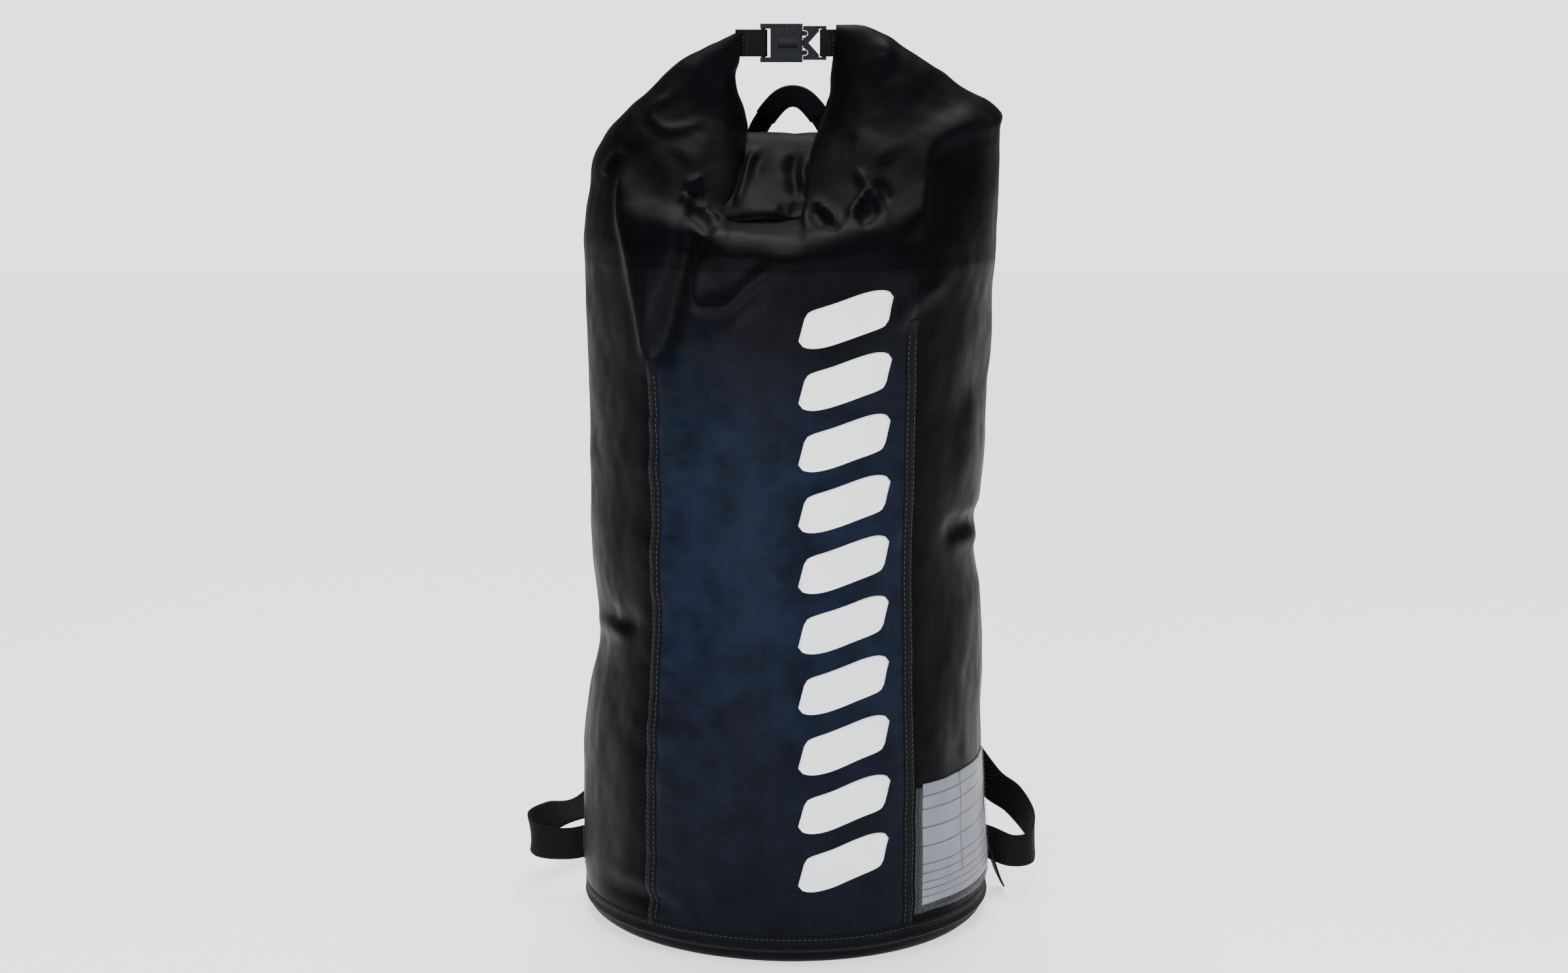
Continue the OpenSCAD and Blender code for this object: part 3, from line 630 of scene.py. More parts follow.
def seam_puckers(phi, z):
    """Small gathers that the stitching pulls into both edges of the front panel and the back seams."""
    out = 0
    for k, (seam, strength) in enumerate([(LEFT_SEAM, 1.5), (RIGHT_SEAM, 0.8),
                                          (BACK_SEAMS[0], 0.9), (BACK_SEAMS[1], 0.9)]):
        d = (phi - seam + 180) % 360 - 180
        arc = np.abs(d) * ARC
        inside = (d > 0) if k in (0, 3) else (d < 0)
        reach = np.where(inside, 26.0, 12.0)
        line = np.stack([z, np.full_like(z, 40.0 * k), 6.0 * np.sin(arc / 9)], -1)
        wave = ripple(line, 15.0, 3.1 * k, 2)
        out = out + (strength * wave * np.exp(-((arc / reach) ** 1.5)) * smooth(20, 60, z)
                     * smooth(500, 440, z))
        # The seam itself is pulled in by its thread
        out = out - 1.5 * np.exp(-((arc / 5.5) ** 2)) * smooth(8, 30, z) * smooth(492, 455, z)
    return out


def folds(p, n, phi):
    """How far each point of the cloth stands off its plain shape, along its normal."""
    out = np.zeros(p.shape[:-1])
    front = smooth(0.15, -0.25, n[..., 1])
    rear = smooth(-0.15, 0.25, n[..., 1])
    xz = p[..., [0, 2]]
    for pts, height, width, lean, taper in FRONT_FOLDS:
        out += front * crease(xz, pts, height, width, lean, taper)
    for pts, height, width, lean, taper in REAR_FOLDS:
        out += rear * crease(xz, pts, height, width, lean, taper)
    z = p[..., 2]
    slack = smooth(15, 70, z)
    out += slack * 1.9 * ripple(p * [1, 1, .42], 62.0, 5.0)
    out += slack * 0.75 * ripple(p * [1, 1, .7], 21.0, 9.0)
    out += smooth(540, 600, z) * .7 * ripple(p, 19.0, 2.0)
    out += seam_puckers(phi, z)
    return out


def make_skin(step, rows_wall, rows_up):
    """The whole cloth as one mesh: positions, faces, angle, material coordinate and region of each face."""
    zs = np.linspace(WALL_LOW, WALL_TOP, rows_wall)
    vs = np.linspace(0, 1, rows_up)[1:]
    shore = int(np.searchsorted(vs, SHORE))
    vs[shore] = SHORE
    verts, faces, phis, cloth, where = [], [], [], [], []
    count = 0
    for name, angles in spans(step):
        n = len(angles)
        A, Z = np.meshgrid(angles, zs, indexing="ij")
        low = wall(A, Z)
        v_here = vs if "middle" not in name else vs[:shore + 1]
        A2, V = np.meshgrid(angles, v_here, indexing="ij")
        up = middle(name, A2, V) if "middle" in name else half(name, A2, V)
        grid = np.concatenate([low, up], axis=1)
        m = grid.shape[1]
        AA = np.repeat(angles[:, None], m, 1)
        length = np.r_[zs, WALL_TOP + 215 * v_here]
        verts.append(grid.reshape(-1, 3))
        phis.append(AA.ravel())
        cloth.append(np.stack([AA * ARC, np.repeat(length[None], n, 0), 0 * AA], -1).reshape(-1, 3))
        f = quads(n, m)
        faces.append(f + count)
        row = (f[:, 0] % m)
        where.append(np.where(row < rows_wall - 1, 0, 1))
        count += n * m
        if name in ("left_front", "right_front"):
            v_fold = vs[(vs >= SHORE - 1e-9) & (vs < .70)]
            strip = np.stack(tuck(name, v_fold))
            if name == "right_front":
                strip = strip[::-1]
            k, m = strip.shape[:2]
            verts.append(strip.reshape(-1, 3))
            phis.append(np.full(k * m, angles[-1 if name == "left_front" else 0]))
            cloth.append(strip.reshape(-1, 3)[:, [0, 2, 1]])
            faces.append(quads(k, m) + count)
            where.append(np.ones(len(faces[-1]), int))
            count += k * m
    verts, phis, cloth = np.concatenate(verts), np.concatenate(phis), np.concatenate(cloth)
    faces, where = np.concatenate(faces), np.concatenate(where)
    # Weld the columns that meet, except above the roll's lower edge, where the halves stay free
    key = np.round(verts * 50).astype(np.int64)
    _, first, back = np.unique(key, axis=0, return_index=True, return_inverse=True)
    verts, phis, cloth = verts[first], phis[first], cloth[first]
    faces = back.ravel()[faces]
    good = np.array([len(set(q)) == 4 for q in faces])
    return verts, faces[good], phis, cloth, where[good]


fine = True
V, F, PHI, CLOTH, UPPER = make_skin(1.0 if fine else 1.5, 190 if fine else 126, 76 if fine else 54)
N = vertex_normals(V, F)
V = V + N * folds(V, N, PHI)[:, None]
N = vertex_normals(V, F)
CENTRE = V[F].mean(1)
PHI_F = np.degrees(np.arctan2(CENTRE[:, 0], -CENTRE[:, 1]))

# Where the closure's arms are cut from the rest of the cloth: a slanting line, higher towards the middle
BENDS = {
    "left": (np.array([-40.0, 0, 606]), np.array([-52.0, 0, 644])),
    "right": (np.array([40.0, 0, 606]), np.array([52.0, 0, 644])),
}


def turning(p, side):
    s, e = BENDS[side]
    t = ((p - s) @ (e - s)) / ((e - s) @ (e - s))
    return (t > 0) & ((p[..., 0] < 0) == (side == "left"))


on_left = turning(V, "left")[F].any(1) & (CENTRE[:, 0] < 0)
on_right = turning(V, "right")[F].any(1) & (CENTRE[:, 0] >= 0)
still = ~(on_left | on_right)
PIECES = {
    "front_cloth": still & (UPPER == 0) & (PHI_F > LEFT_SEAM) & (PHI_F < RIGHT_SEAM),
    "left_side_cloth": still & (UPPER == 0) & (PHI_F <= LEFT_SEAM) & (PHI_F > BACK_SEAMS[1]),
    "right_side_cloth": still & (UPPER == 0) & (PHI_F >= RIGHT_SEAM) & (PHI_F < BACK_SEAMS[0]),
    "back_cloth": still & (UPPER == 0) & ((PHI_F >= BACK_SEAMS[0]) | (PHI_F <= BACK_SEAMS[1])),
    "shoulder_cloth": still & (UPPER == 1),
    "left_wing": on_left,
    "right_wing": on_right,
}


def cut(name, keep, **kw):
    f = F[keep]
    used, back = np.unique(f, return_inverse=True)
    return build(name, V[used], back.reshape(f.shape), normals=N[used], cloth=CLOTH[used], **kw)


STANDS_FOR = {
    "front_cloth": ["front_panel"], "left_side_cloth": ["left_side_panel"],
    "right_side_cloth": ["right_side_panel"], "back_cloth": ["back_panel"],
    "shoulder_cloth": ["shoulder_shell", "left_gusset", "right_gusset"],
    "left_wing": ["left_arm"], "right_wing": ["right_arm"],
}
for name, keep in PIECES.items():
    ob = cut(name, keep)
    # Only the front panel gets the fabric with the painted bluish sheen
    has_painted_sheen = name == "front_cloth"
    material(ob, FRONT_FABRIC if has_painted_sheen else SIDE_FABRIC)
    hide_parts(*STANDS_FOR[name])
    if name.endswith("wing"):
        side = name.split("_")[0]
        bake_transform(ob)
    else:
        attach(ob, "bag")


def on_wall(phi, z, off=0.0):
    """Points on the folded wall, and its normals there."""
    phi, z = np.broadcast_arrays(np.asarray(phi, float), np.asarray(z, float))

    def raw(a, h):
        p = wall(a, h)
        n = unit(np.cross(wall(a + .5, h) - wall(a - .5, h), wall(a, h + 2) - wall(a, h - 2)))
        return p + n * folds(p, n, a)[..., None]

    q = raw(phi, z)
    n = unit(np.cross(raw(phi + .8, z) - raw(phi - .8, z), raw(phi, z + 2) - raw(phi, z - 2)))
    return q + n * np.asarray(off, float)[..., None] if np.ndim(off) else q + n * off, n


def slab(name, outer, inner, cloth=None, **kw):
    """A closed mesh between two grids of points."""
    verts, faces = closed(outer, inner)
    uv = None if cloth is None else np.concatenate([cloth.reshape(-1, 3)] * 2)
    return build(name, verts, faces, cloth=uv, **kw)


def patch(name, outline, off, thick, nu, nv, body="bag", crown=0.0, edge=1.2, **kw):
    """A thin piece that lies on the wall; outline(s, t) gives its angle and height."""
    s, t = np.meshgrid(np.linspace(0, 1, nu), np.linspace(0, 1, nv), indexing="ij")
    phi, z = outline(s, t)
    rim = np.minimum(np.minimum(s, 1 - s) * nu, np.minimum(t, 1 - t) * nv)
    up = np.clip(rim / edge, 0, 1) ** .5
    outer, _ = on_wall(phi, z, off + thick * (.35 + .65 * up) + crown * np.sin(np.pi * s) * np.sin(np.pi * t))
    inner, _ = on_wall(phi, z, off - .4)
    uv = np.stack([phi * ARC, z, 0 * z], -1)
    ob = slab(name, outer, inner, uv, **kw)
    if body:
        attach(ob, body)
    return ob


def frames(path, side):
    """Directions along, across and out of a strip at each point of its path."""
    a = unit(np.gradient(path, axis=0))
    w = unit(side - (side * a).sum(-1, keepdims=True) * a)
    return a, w, np.cross(a, w)


def strap(name, path, side, width, thick, mat, body=None, bow=0.0, spread=None, ends=True):
    """Flat webbing with rounded selvedges along a path."""
    path, side = np.asarray(path, float), np.asarray(side, float)
    _, w, out = frames(path, side)
    h = thick / 2
    wide = np.full(len(path), width / 2.0) if spread is None else np.asarray(spread) / 2
    across = np.array([-1, -.985, -.9, -.6, -.3, 0, .3, .6, .9, .985, 1])
    lift = np.array([.0, .75, 1.08, .95, 1, 1, 1, .95, 1.08, .75, .0])
    top = np.stack([across, lift], -1)
    ring = np.concatenate([top, np.stack([across[-2:0:-1], -lift[-2:0:-1]], -1)])
    k = len(ring)
    pts = (path[:, None] + ring[None, :, :1] * wide[:, None, None] * w[:, None]
           + (ring[None, :, 1:] * h + bow * (1 - ring[None, :, :1] ** 2)) * out[:, None])
    n = len(path)
    length = np.r_[0, np.cumsum(np.linalg.norm(np.diff(path, axis=0), axis=1))]
    uv = np.stack([ring[None, :, 0] * wide[:, None], np.repeat(length[:, None], k, 1),
                   np.zeros((n, k))], -1)
    faces = tube(n, k).tolist()
    if ends:
        half_k = k // 2
        for base, flip in ((0, False), ((n - 1) * k, True)):
            for j in range(half_k):
                q = [base + j, base + j + 1, base + (k - j - 1) % k, base + (k - j) % k]
                q = list(dict.fromkeys(q))
                faces.append(q if flip else q[::-1])
    ob = build(name, pts.reshape(-1, 3), faces, cloth=uv.reshape(-1, 3))
    material(ob, mat)
    if body:
        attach(ob, body)
    return ob


def stitches(name, runs, length=2.6, gap=1.3, radius=0.34, body="bag", mat=None):
    """Sewn thread: small rounded stitches along each run of (points, normals)."""
    verts, faces = [], []
    prof = np.array([[-.5, .25], [-.36, .8], [0, 1], [.36, .8], [.5, .25]])
    ang = np.linspace(0, 2 * np.pi, 6, endpoint=False)
    for pts, nor in runs:
        pts, nor = np.asarray(pts, float), np.asarray(nor, float)
        s = np.r_[0, np.cumsum(np.linalg.norm(np.diff(pts, axis=0), axis=1))]
        for c in np.arange(length / 2, s[-1] - length / 2, length + gap):
            p = np.array([np.interp(c, s, pts[:, i]) for i in range(3)])
            q = np.array([np.interp(c + .5, s, pts[:, i]) for i in range(3)])
            n = unit(np.array([np.interp(c, s, nor[:, i]) for i in range(3)]))
            a = unit(q - p)
            b = np.cross(n, a)
            base = len(verts)
            for x, r in prof:
                for g in ang:
                    verts.append(p + a * x * length + (b * math.cos(g) + n * math.sin(g)) * r * radius
                                 + n * radius * .35)
            k = len(ang)
            for i in range(len(prof) - 1):
                for j in range(k):
                    faces.append([base + i * k + j, base + i * k + (j + 1) % k,
                                  base + (i + 1) * k + (j + 1) % k, base + (i + 1) * k + j])
            faces.append([base + j for j in range(k)][::-1])
            faces.append([base + 4 * k + j for j in range(k)])
    ob = build(name, verts, faces)
    material(ob, mat or THREAD)
    if body:
        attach(ob, body)
    return ob


def line_on_wall(phi0, z0, phi1, z1, off, n=160):
    t = np.linspace(0, 1, n)
    return on_wall(phi0 + (phi1 - phi0) * t, z0 + (z1 - z0) * t, off)


# ------------------------------------------------------------------ seams, base, print

def seam_tapes():
    """A narrow piped tape over each panel seam, sewn down beside its cord."""
    prof = np.array([[-4.6, .1], [-4.2, .75], [-1.9, .85], [-1.3, 1.9], [0, 2.5], [1.3, 1.9],
                     [1.9, .85], [4.2, .75], [4.6, .1]])
    verts, faces, cloth, runs = [], [], [], []
    for seam, top in ((LEFT_SEAM, 440), (RIGHT_SEAM, 470), (BACK_SEAMS[0], 466), (BACK_SEAMS[1], 466)):
        z = np.linspace(16, top, 150)
        fade = smooth(top + 2, top - 18, z) * smooth(14, 24, z)
        base = len(verts)
        grid = [on_wall(seam + arc / ARC, z, h * (.25 + .75 * fade) + .15)[0] for arc, h in prof]
        inside = [on_wall(seam + arc / ARC, z, -.6)[0] for arc in (4.6, -4.6)]
        grid = np.stack(grid + inside, 1)
        k = grid.shape[1]
        verts += list(grid.reshape(-1, 3))
        faces += (tube(len(z), k) + base).tolist()
        faces += [[base + j for j in range(k)][::-1], [base + (len(z) - 1) * k + j for j in range(k)]]
        arcs = np.r_[prof[:, 0], 4.6, -4.6]
        cloth += np.stack([np.repeat(arcs[None], len(z), 0), np.repeat(z[:, None], k, 1),
                           np.zeros((len(z), k))], -1).reshape(-1, 3).tolist()
        for arc in (-3.1, 3.1):
            runs.append(line_on_wall(seam + arc / ARC, 24, seam + arc / ARC, top - 11, 1.0))
    ob = build("seam_tapes", verts, faces, "bag", cloth=np.array(cloth))
    material(ob, SEAM_TAPE)
    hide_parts("seam_piping")
    stitches("seam_stitches", runs)


def base_cloth():
    """The sewn-in base: its turned-up rim follows the wall, and the bottom rests flat."""
    phi = np.linspace(-180, 180, 181)[:-1]
    edge, _ = on_wall(phi, np.full_like(phi, WALL_LOW))
    r = np.linalg.norm(edge[:, :2], axis=1)
    rings = []
    flank = np.abs(np.sin(np.radians(phi))) ** 26
    for share, z, square in ((1.0, 9.2, 1.0), (.990, 5.6, 1.0), (.976, 3.0, .996), (.960, 1.1, .988),
                             (.945, .2, .97), (.90, 0, .92), (.6, 0, .6), (.3, 0, .3), (.05, 0, .05)):
        share = share + (square - share) * flank
        k = np.where(share > .9, r * share, r.mean() * share + (r - r.mean()) * share * .4)
        rings.append(np.stack([k * np.sin(np.radians(phi)), -k * np.cos(np.radians(phi)),
                               np.full_like(phi, z)], -1))
    grid = np.stack(rings, 1)
    m = grid.shape[1]
    faces = quads(len(phi), m, closed=True)[:, ::-1].tolist()
    faces.append([i * m + m - 1 for i in range(len(phi))])
    ob = build("base_cloth", grid.reshape(-1, 3), faces, "bag", cloth=grid.reshape(-1, 3))
    material(ob, BASE_FABRIC)
    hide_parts("base_panel")


def base_welt():
    """Piped welt round the foot of the walls."""
    phi = np.linspace(-180, 180, 181)[:-1]
    prof = [(10.2, .0), (10.8, 1.6), (12.0, 2.5), (13.2, 2.6), (14.4, 1.9), (15.4, .9), (17.5, .55),
            (21.5, .5), (22.3, .0)]
    rows = [on_wall(phi, np.full_like(phi, z), off)[0] for z, off in prof]
    rows.append(on_wall(phi, np.full_like(phi, 16.0), -.8)[0])
    grid = np.stack(rows, 1)
    k = grid.shape[1]
    i, j = np.meshgrid(np.arange(len(phi)), np.arange(k), indexing="ij")
    i2, j2 = (i + 1) % len(phi), (j + 1) % k
    faces = np.stack([i * k + j, i2 * k + j, i2 * k + j2, i * k + j2], -1).reshape(-1, 4)
    uv = np.stack([np.repeat(np.array([z for z, _ in prof] + [16])[None], len(phi), 0),
                   np.repeat((phi * ARC)[:, None], k, 1), np.zeros((len(phi), k))], -1)
    ob = build("base_piping", grid.reshape(-1, 3), faces, "bag", cloth=uv.reshape(-1, 3))
    material(ob, SEAM_TAPE)
    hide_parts("base_welt")
    around = np.linspace(-180, 180, 700)
    stitches("base_stitches", [on_wall(around, np.full_like(around, 19.6), .9)])


def print_blocks():
    """A twisted-rope motif up the front: one slanting strand after another, in white ink."""
    verts, faces, cloth = [], [], []
    for k in range(10):
        low = 58 + 44 * k
        s, t = np.meshgrid(np.linspace(0, 1, 25), np.linspace(0, 1, 17), indexing="ij")
        x = 2 * s - 1
        round_off = np.sqrt(np.clip(1 - np.abs(x) ** 5, 0, 1))
        sway = 7.0 * np.sin(np.pi * x / 2)
        z = low + 18 + sway + (t - .5) * 29 * (.55 + .45 * round_off)
        phi = 14.5 + x * 12.4 + (t - .5) * 1.6 * x ** 2
        outer, _ = on_wall(phi, z, .42)
        inner, _ = on_wall(phi, z, -.5)
        points, f = closed(outer, inner)
        faces += (f + len(verts)).tolist()
        verts += list(points)
        uv = np.stack([phi * ARC, z, 0 * z], -1).reshape(-1, 3)
        cloth += [*uv, *uv]
    ob = build("front_print_ink", verts, faces, "bag", cloth=np.array(cloth))
    material(ob, INK)
    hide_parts("front_print")


# ------------------------------------------------------------------ the roll's middle

def roll():
    """The rolled mouth between the two folds: a soft lip in front, the rounded top, and its plain back."""
    prof = np.array([[-50, 546], [-70, 538], [-90, 534.5], [-98, 537], [-98, 541.5], [-90, 548], [-70, 561],
                     [-48, 575], [-30, 587], [-17, 594.5], [-6, 598], [5, 598], [13, 594], [17, 586],
                     [18.5, 572], [22, 558], [25, 551], [21, 548], [10, 549]])
    prof = along(prof, 64)
    n = len(prof)
    s = np.linspace(0, 1, 61)
    k = np.arange(n) / (n - 1)
    left = np.interp(k, [0, .28, .5, .62, .8, 1], [-60, -58, -52, -48, -62, -64])
    right = np.interp(k, [0, .28, .5, .62, .8, 1], [22, 24, 32, 38, 62, 64])
    X = left[None] + (right - left)[None] * s[:, None]
    Y = np.repeat(prof[None, :, 0], len(s), 0)
    Z = np.repeat(prof[None, :, 1], len(s), 0)
    # The face is widest at its lip, which droops at both corners and curls forward in the middle
    front = smooth(.60, .50, k)[None]
    mid = np.exp(-(((X + 20) / 24) ** 2))
    lip = np.exp(-(((k - .22) / .10) ** 2))[None]
    Y = Y - lip * (7 * mid - 2) * front
    Z = Z + lip * (4.5 * mid - 3.5) * front
    P = np.stack([X, Y, Z], -1)
    nrm = unit(np.cross(np.gradient(P, axis=1), np.gradient(P, axis=0)))
    if nrm[len(s) // 2, n // 3, 1] > 0:
        nrm = -nrm
    xz = P[..., [0, 2]]
    d = 1.0 * ripple(P, 30.0, 4.0) + .6 * ripple(P, 12.0, 7.0)
    face = smooth(.58, .50, k)[None]
    for pts, h, w, lean, taper in (
            ([(-20, 596), (-30, 584), (-36, 564), (-42, 545)], 2.8, 3.0, .3, .2),
            ([(-12, 594), (-24, 582), (-29, 565)], -2.4, 6, 0, .3),
            ([(-8, 592), (-11, 572), (-8, 552)], 1.8, 8, 0, .3),
            ([(3, 590), (0, 572), (4, 552)], -3.4, 5, 0, .25),
            ([(9, 582), (7, 566), (11, 557)], 2.8, 3.2, 0, .3),
            ([(-12, 550), (-3, 544), (6, 549)], -2.2, 4, 0, .3)):
        d = d + face * crease(xz, pts, h, w, lean, taper)
    P = P + nrm * d[..., None]
    uv = np.stack([X, np.repeat((k * 180)[None], len(s), 0), 0 * X], -1)
    ob = build("roll_cloth", P.reshape(-1, 3), quads(len(s), n), "bag", cloth=uv.reshape(-1, 3))
    material(ob, SIDE_FABRIC)
    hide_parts("roll_centre")


# ------------------------------------------------------------------ webbing and the buckle

def tabs():
    """The buckle's webbing: turned round each bar and sewn to itself and into the end of the mouth."""
    for side, bar, end in (("left", -22.2, -43.0), ("right", 23.0, 37.0)):
        out = -1 if side == "left" else 1
        turn = [(bar - out * 2.55 * math.cos(a), 2.55 * math.sin(a)) for a in np.linspace(-1.45, 1.45, 15)]
        far = [(end, 1.2), (bar + out * 9, 1.35), (bar + out * 4, 1.9)]
        near = [(x, -y) for x, y in reversed(far)]
        path = along([[x, y, 664.0] for x, y in far + turn[::-1] + near], 60)
        ob = strap(side + "_tab_webbing", path, np.repeat([[0, 0, 1.0]], 60, 0), 20, 1.3, WEB,
                   side + "_closure")
        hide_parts(side + "_tab")
        runs = []
        mid = end - out * 8
        for x in (mid - 2.5, mid + 1.0):
            z = np.linspace(655.5, 672.5, 20)
            for face in (-1.0, 1.0):
                runs.append((np.stack([0 * z + x, 0 * z + 2.35 * face, z], -1),
                             np.repeat([[0, face, 0]], 20, 0)))
        stitches(side + "_tab_stitches", runs, 2.0, 1.0, .3, side + "_closure")


def spline(points, steps):
    """Catmull-Rom line through points."""
    p = np.asarray(points, float)
    out = []
    for i in range(len(p) - 1):
        a, b, c, d = p[max(i - 1, 0)], p[i], p[i + 1], p[min(i + 2, len(p) - 1)]
        for k in range(steps):
            t = k / steps
            out.append(.5 * (2 * b + (c - a) * t + (2 * a - 5 * b + 4 * c - d) * t * t
                             + (3 * b - a - 3 * c + d) * t ** 3))
    return np.array(out + [p[-1]])


def lower_webs():
    """Lower webbing: out of its anchor at the side, round in a slack loop and up to the adjuster."""
    routes = {
        "left": [[-150, 25, 43], [-158, 23.5, 41], [-178, 20, 38], [-202, 24, 39], [-208, 43, 45],
                 [-193, 78, 45], [-164, 110, 47], [-127, 132, 92], [-92, 138.5, 206], [-92, 142.8, 219],
                 [-92, 145.2, 226]],
        "right": [[145, 25, 42], [156, 22, 39], [173, 18, 33], [189, 24, 34], [192, 46, 44], [180, 78, 57],
                  [160, 104, 68], [130, 128, 112], [92, 138.5, 206], [92, 142.8, 219], [92, 145.2, 226]]}
    for side, pts in routes.items():
        path = spline(pts, 10)
        n = len(path)
        sgn = -1 if side == "left" else 1
        t = (np.arange(n) / (n - 1) - (.32 if sgn < 0 else .38)) / (.30 if sgn < 0 else .44)
        t = np.clip(t, 0, 1)
        across = np.stack([sgn * t, .25 - .25 * t, 1.3 - 1.3 * t], -1)
        ob = strap(side + "_lower_strap", path, across, 25, 1.6, WEB, bow=.5 * sgn)
        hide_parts(side + "_lower_webbing")
        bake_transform(ob)


def loose_end():
    """The cut tail of the right webbing, left hanging below its anchor."""
    path = spline([[148.5, 18, 50], [153.5, 19, 40], [158.5, 21, 26], [163, 22, 13], [167.5, 22, 3.5]], 10)
    n = len(path)
    strap("right_loose_end", path, np.repeat([[-.15, 1.0, .1]], n, 0), 22, 1.5, WEB, "bag",
          spread=np.interp(np.arange(n), [0, n - 8, n - 1], [22, 22, 13]))


def anchors():
    """The sewn tabs at both lower sides that hold the lower webbing."""
    for side, azimuth, z in (("left", 171, 41), ("right", 11, 41)):
        mid = azimuth + 90 if azimuth < 90 else azimuth - 270

        def outline(s, t, mid=mid, z=z):
            return mid + (s - .5) * 17.6, z + (t - .5) * 33.5

        ob = patch(side + "_anchor_patch", outline, .2, 1.1, 15, 12)
        material(ob, SEAM_TAPE)
        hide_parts(side + "_anchor_tab")
        runs = []
        a, b = mid - 7.4, mid + 7.4
        lo, hi = z - 14, z + 14
        for p0, q0, p1, q1 in ((a, lo, b, lo), (b, lo, b, hi), (b, hi, a, hi), (a, hi, a, lo),
                               (a, lo, b, hi), (a, hi, b, lo)):
            runs.append(line_on_wall(p0, q0, p1, q1, 1.5, 24))
        stitches(side + "_anchor_stitches", runs, 2.2, 1.0, .32)


def haul_handle():
    """Haul handle: webbing folded along its length, sewn flat at both feet, with a sleeve on the bend."""
    half_line = [(29.5, 540.5), (28.5, 546), (28, 556), (29, 568), (30.2, 580), (29.5, 590), (26, 600),
                 (19.5, 610), (12.5, 618.2), (6.5, 622.6)]
    y = [89, 80, 76.5, 76, 76, 76, 76, 76, 76, 76]
    line = half_line + [(0, 624)] + [(-x, z) for x, z in half_line[::-1]]
    y = y + [76] + y[::-1]
    path = along(spline([[x, yy, z] for (x, z), yy in zip(line, y)], 8), 150)
    a = unit(np.gradient(path, axis=0))
    side = np.cross(a, np.array([0, 1.0, 0]))
    side[0:14] = side[14]
    side[-14:] = side[-15]
    n = len(path)
    s = np.minimum(np.arange(n), np.arange(n)[::-1])
    spread = np.interp(s, [0, 10, 24], [19, 19, 15])
    thick = 4.6
    ob = strap("haul_handle_webbing", path, side, 15, thick, WEB, "handle", spread=spread)
    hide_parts("haul_handle")
    runs = []
    _, w, out = frames(path, side)
    for e in (-1, 1):
        for face in (-1, 1):
            runs.append((path[10:-10] + w[10:-10] * 5.6 * e + out[10:-10] * face * (thick / 2 + .05),
                         out[10:-10] * face))
    stitches("haul_handle_stitches", runs, 2.4, 1.4, .32, "handle")
    part = slice(55, 96)
    grip = strap("haul_handle_sleeve", path[part], side[part], 17, thick + 2.2, SEAM_TAPE, "handle")
    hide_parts("handle_grip")


def handle_foot():
    """The sewn patch on the shoulders under the handle's feet."""
    s, t = np.meshgrid(np.linspace(-1, 1, 29), np.linspace(-1, 1, 13), indexing="ij")
    x, v = 42 * s, 15 * t
    tilt = math.radians(-10.4)
    y = 76 + v * math.cos(tilt)
    z = 544 + v * math.sin(tilt) - 1.6 * s ** 2
    rim = np.clip(np.minimum((1 - np.abs(s)) * 14, (1 - np.abs(t)) * 6) / .9, 0, 1) ** .5
    outer = np.stack([x, y, z + .2 + 1.0 * rim], -1)
    inner = np.stack([x, y, z - 2.2], -1)
    ob = slab("handle_patch_webbing", outer, inner, np.stack([v, x, 0 * x], -1), body="bag")
    material(ob, WEB)
    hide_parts("handle_patch")
    runs = []
    for e in (-1, 1):
        c = 27.0 * e
        for x0, v0, x1, v1 in ((-11, -12, 11, -12), (11, -12, 11, 12), (11, 12, -11, 12), (-11, 12, -11, -12),
                               (-11, -12, 11, 12), (-11, 12, 11, -12)):
            q = np.linspace(0, 1, 16)
            xx, vv = c + x0 + (x1 - x0) * q, v0 + (v1 - v0) * q
            runs.append((np.stack([xx, 76 + vv * math.cos(tilt), 545.35 + vv * math.sin(tilt)
                                   - 1.6 * (xx / 42) ** 2], -1), np.repeat([[0, .18, .98]], 16, 0)))
    stitches("handle_patch_stitches", runs, 2.2, 1.1, .34)


def soften(ob, width):
    """Rounded edges on a moulded piece."""
    m = ob.modifiers.new("edges", "BEVEL")
    m.width = width
    m.segments = 3
    m.limit_method = "ANGLE"
    m.angle_limit = math.radians(30)
    m.use_clamp_overlap = True


def kept_nodes():
    """CAD nodes that keep their own shape, with a material and, on the plastic, rounded edges."""
    for name in ("buckle_socket", "buckle_plug", "upper_latch", "lower_latch", "left_ladder_lock",
                 "right_ladder_lock"):
        soften(material(NODES[name], PLASTIC), .0006 if "lock" not in name else .0008)
    for name, mat in (("base_stiffener", BOARD), ("mouth_stiffener", BOARD), ("rope_tie_loop", WEB)):
        material(NODES[name], mat)


# ------------------------------------------------------------------ back straps

PAD_STEPS = 55  # points along a strap


def sideways(n):
    """The same direction across, n times: along x."""
    return np.repeat([[1.0, 0, 0]], n, 0)


def pad_line(sgn):
    """Middle of a padded strap, which bows away from the back."""
    t = np.linspace(0, 1, PAD_STEPS)
    x = 34 + 58 * t
    y = np.sqrt(150 ** 2 - (x - 29) ** 2) + 4.5 + 3 + 42 * np.sin(np.pi * t)
    return np.stack([sgn * x, y, 466 - 216 * t], -1)


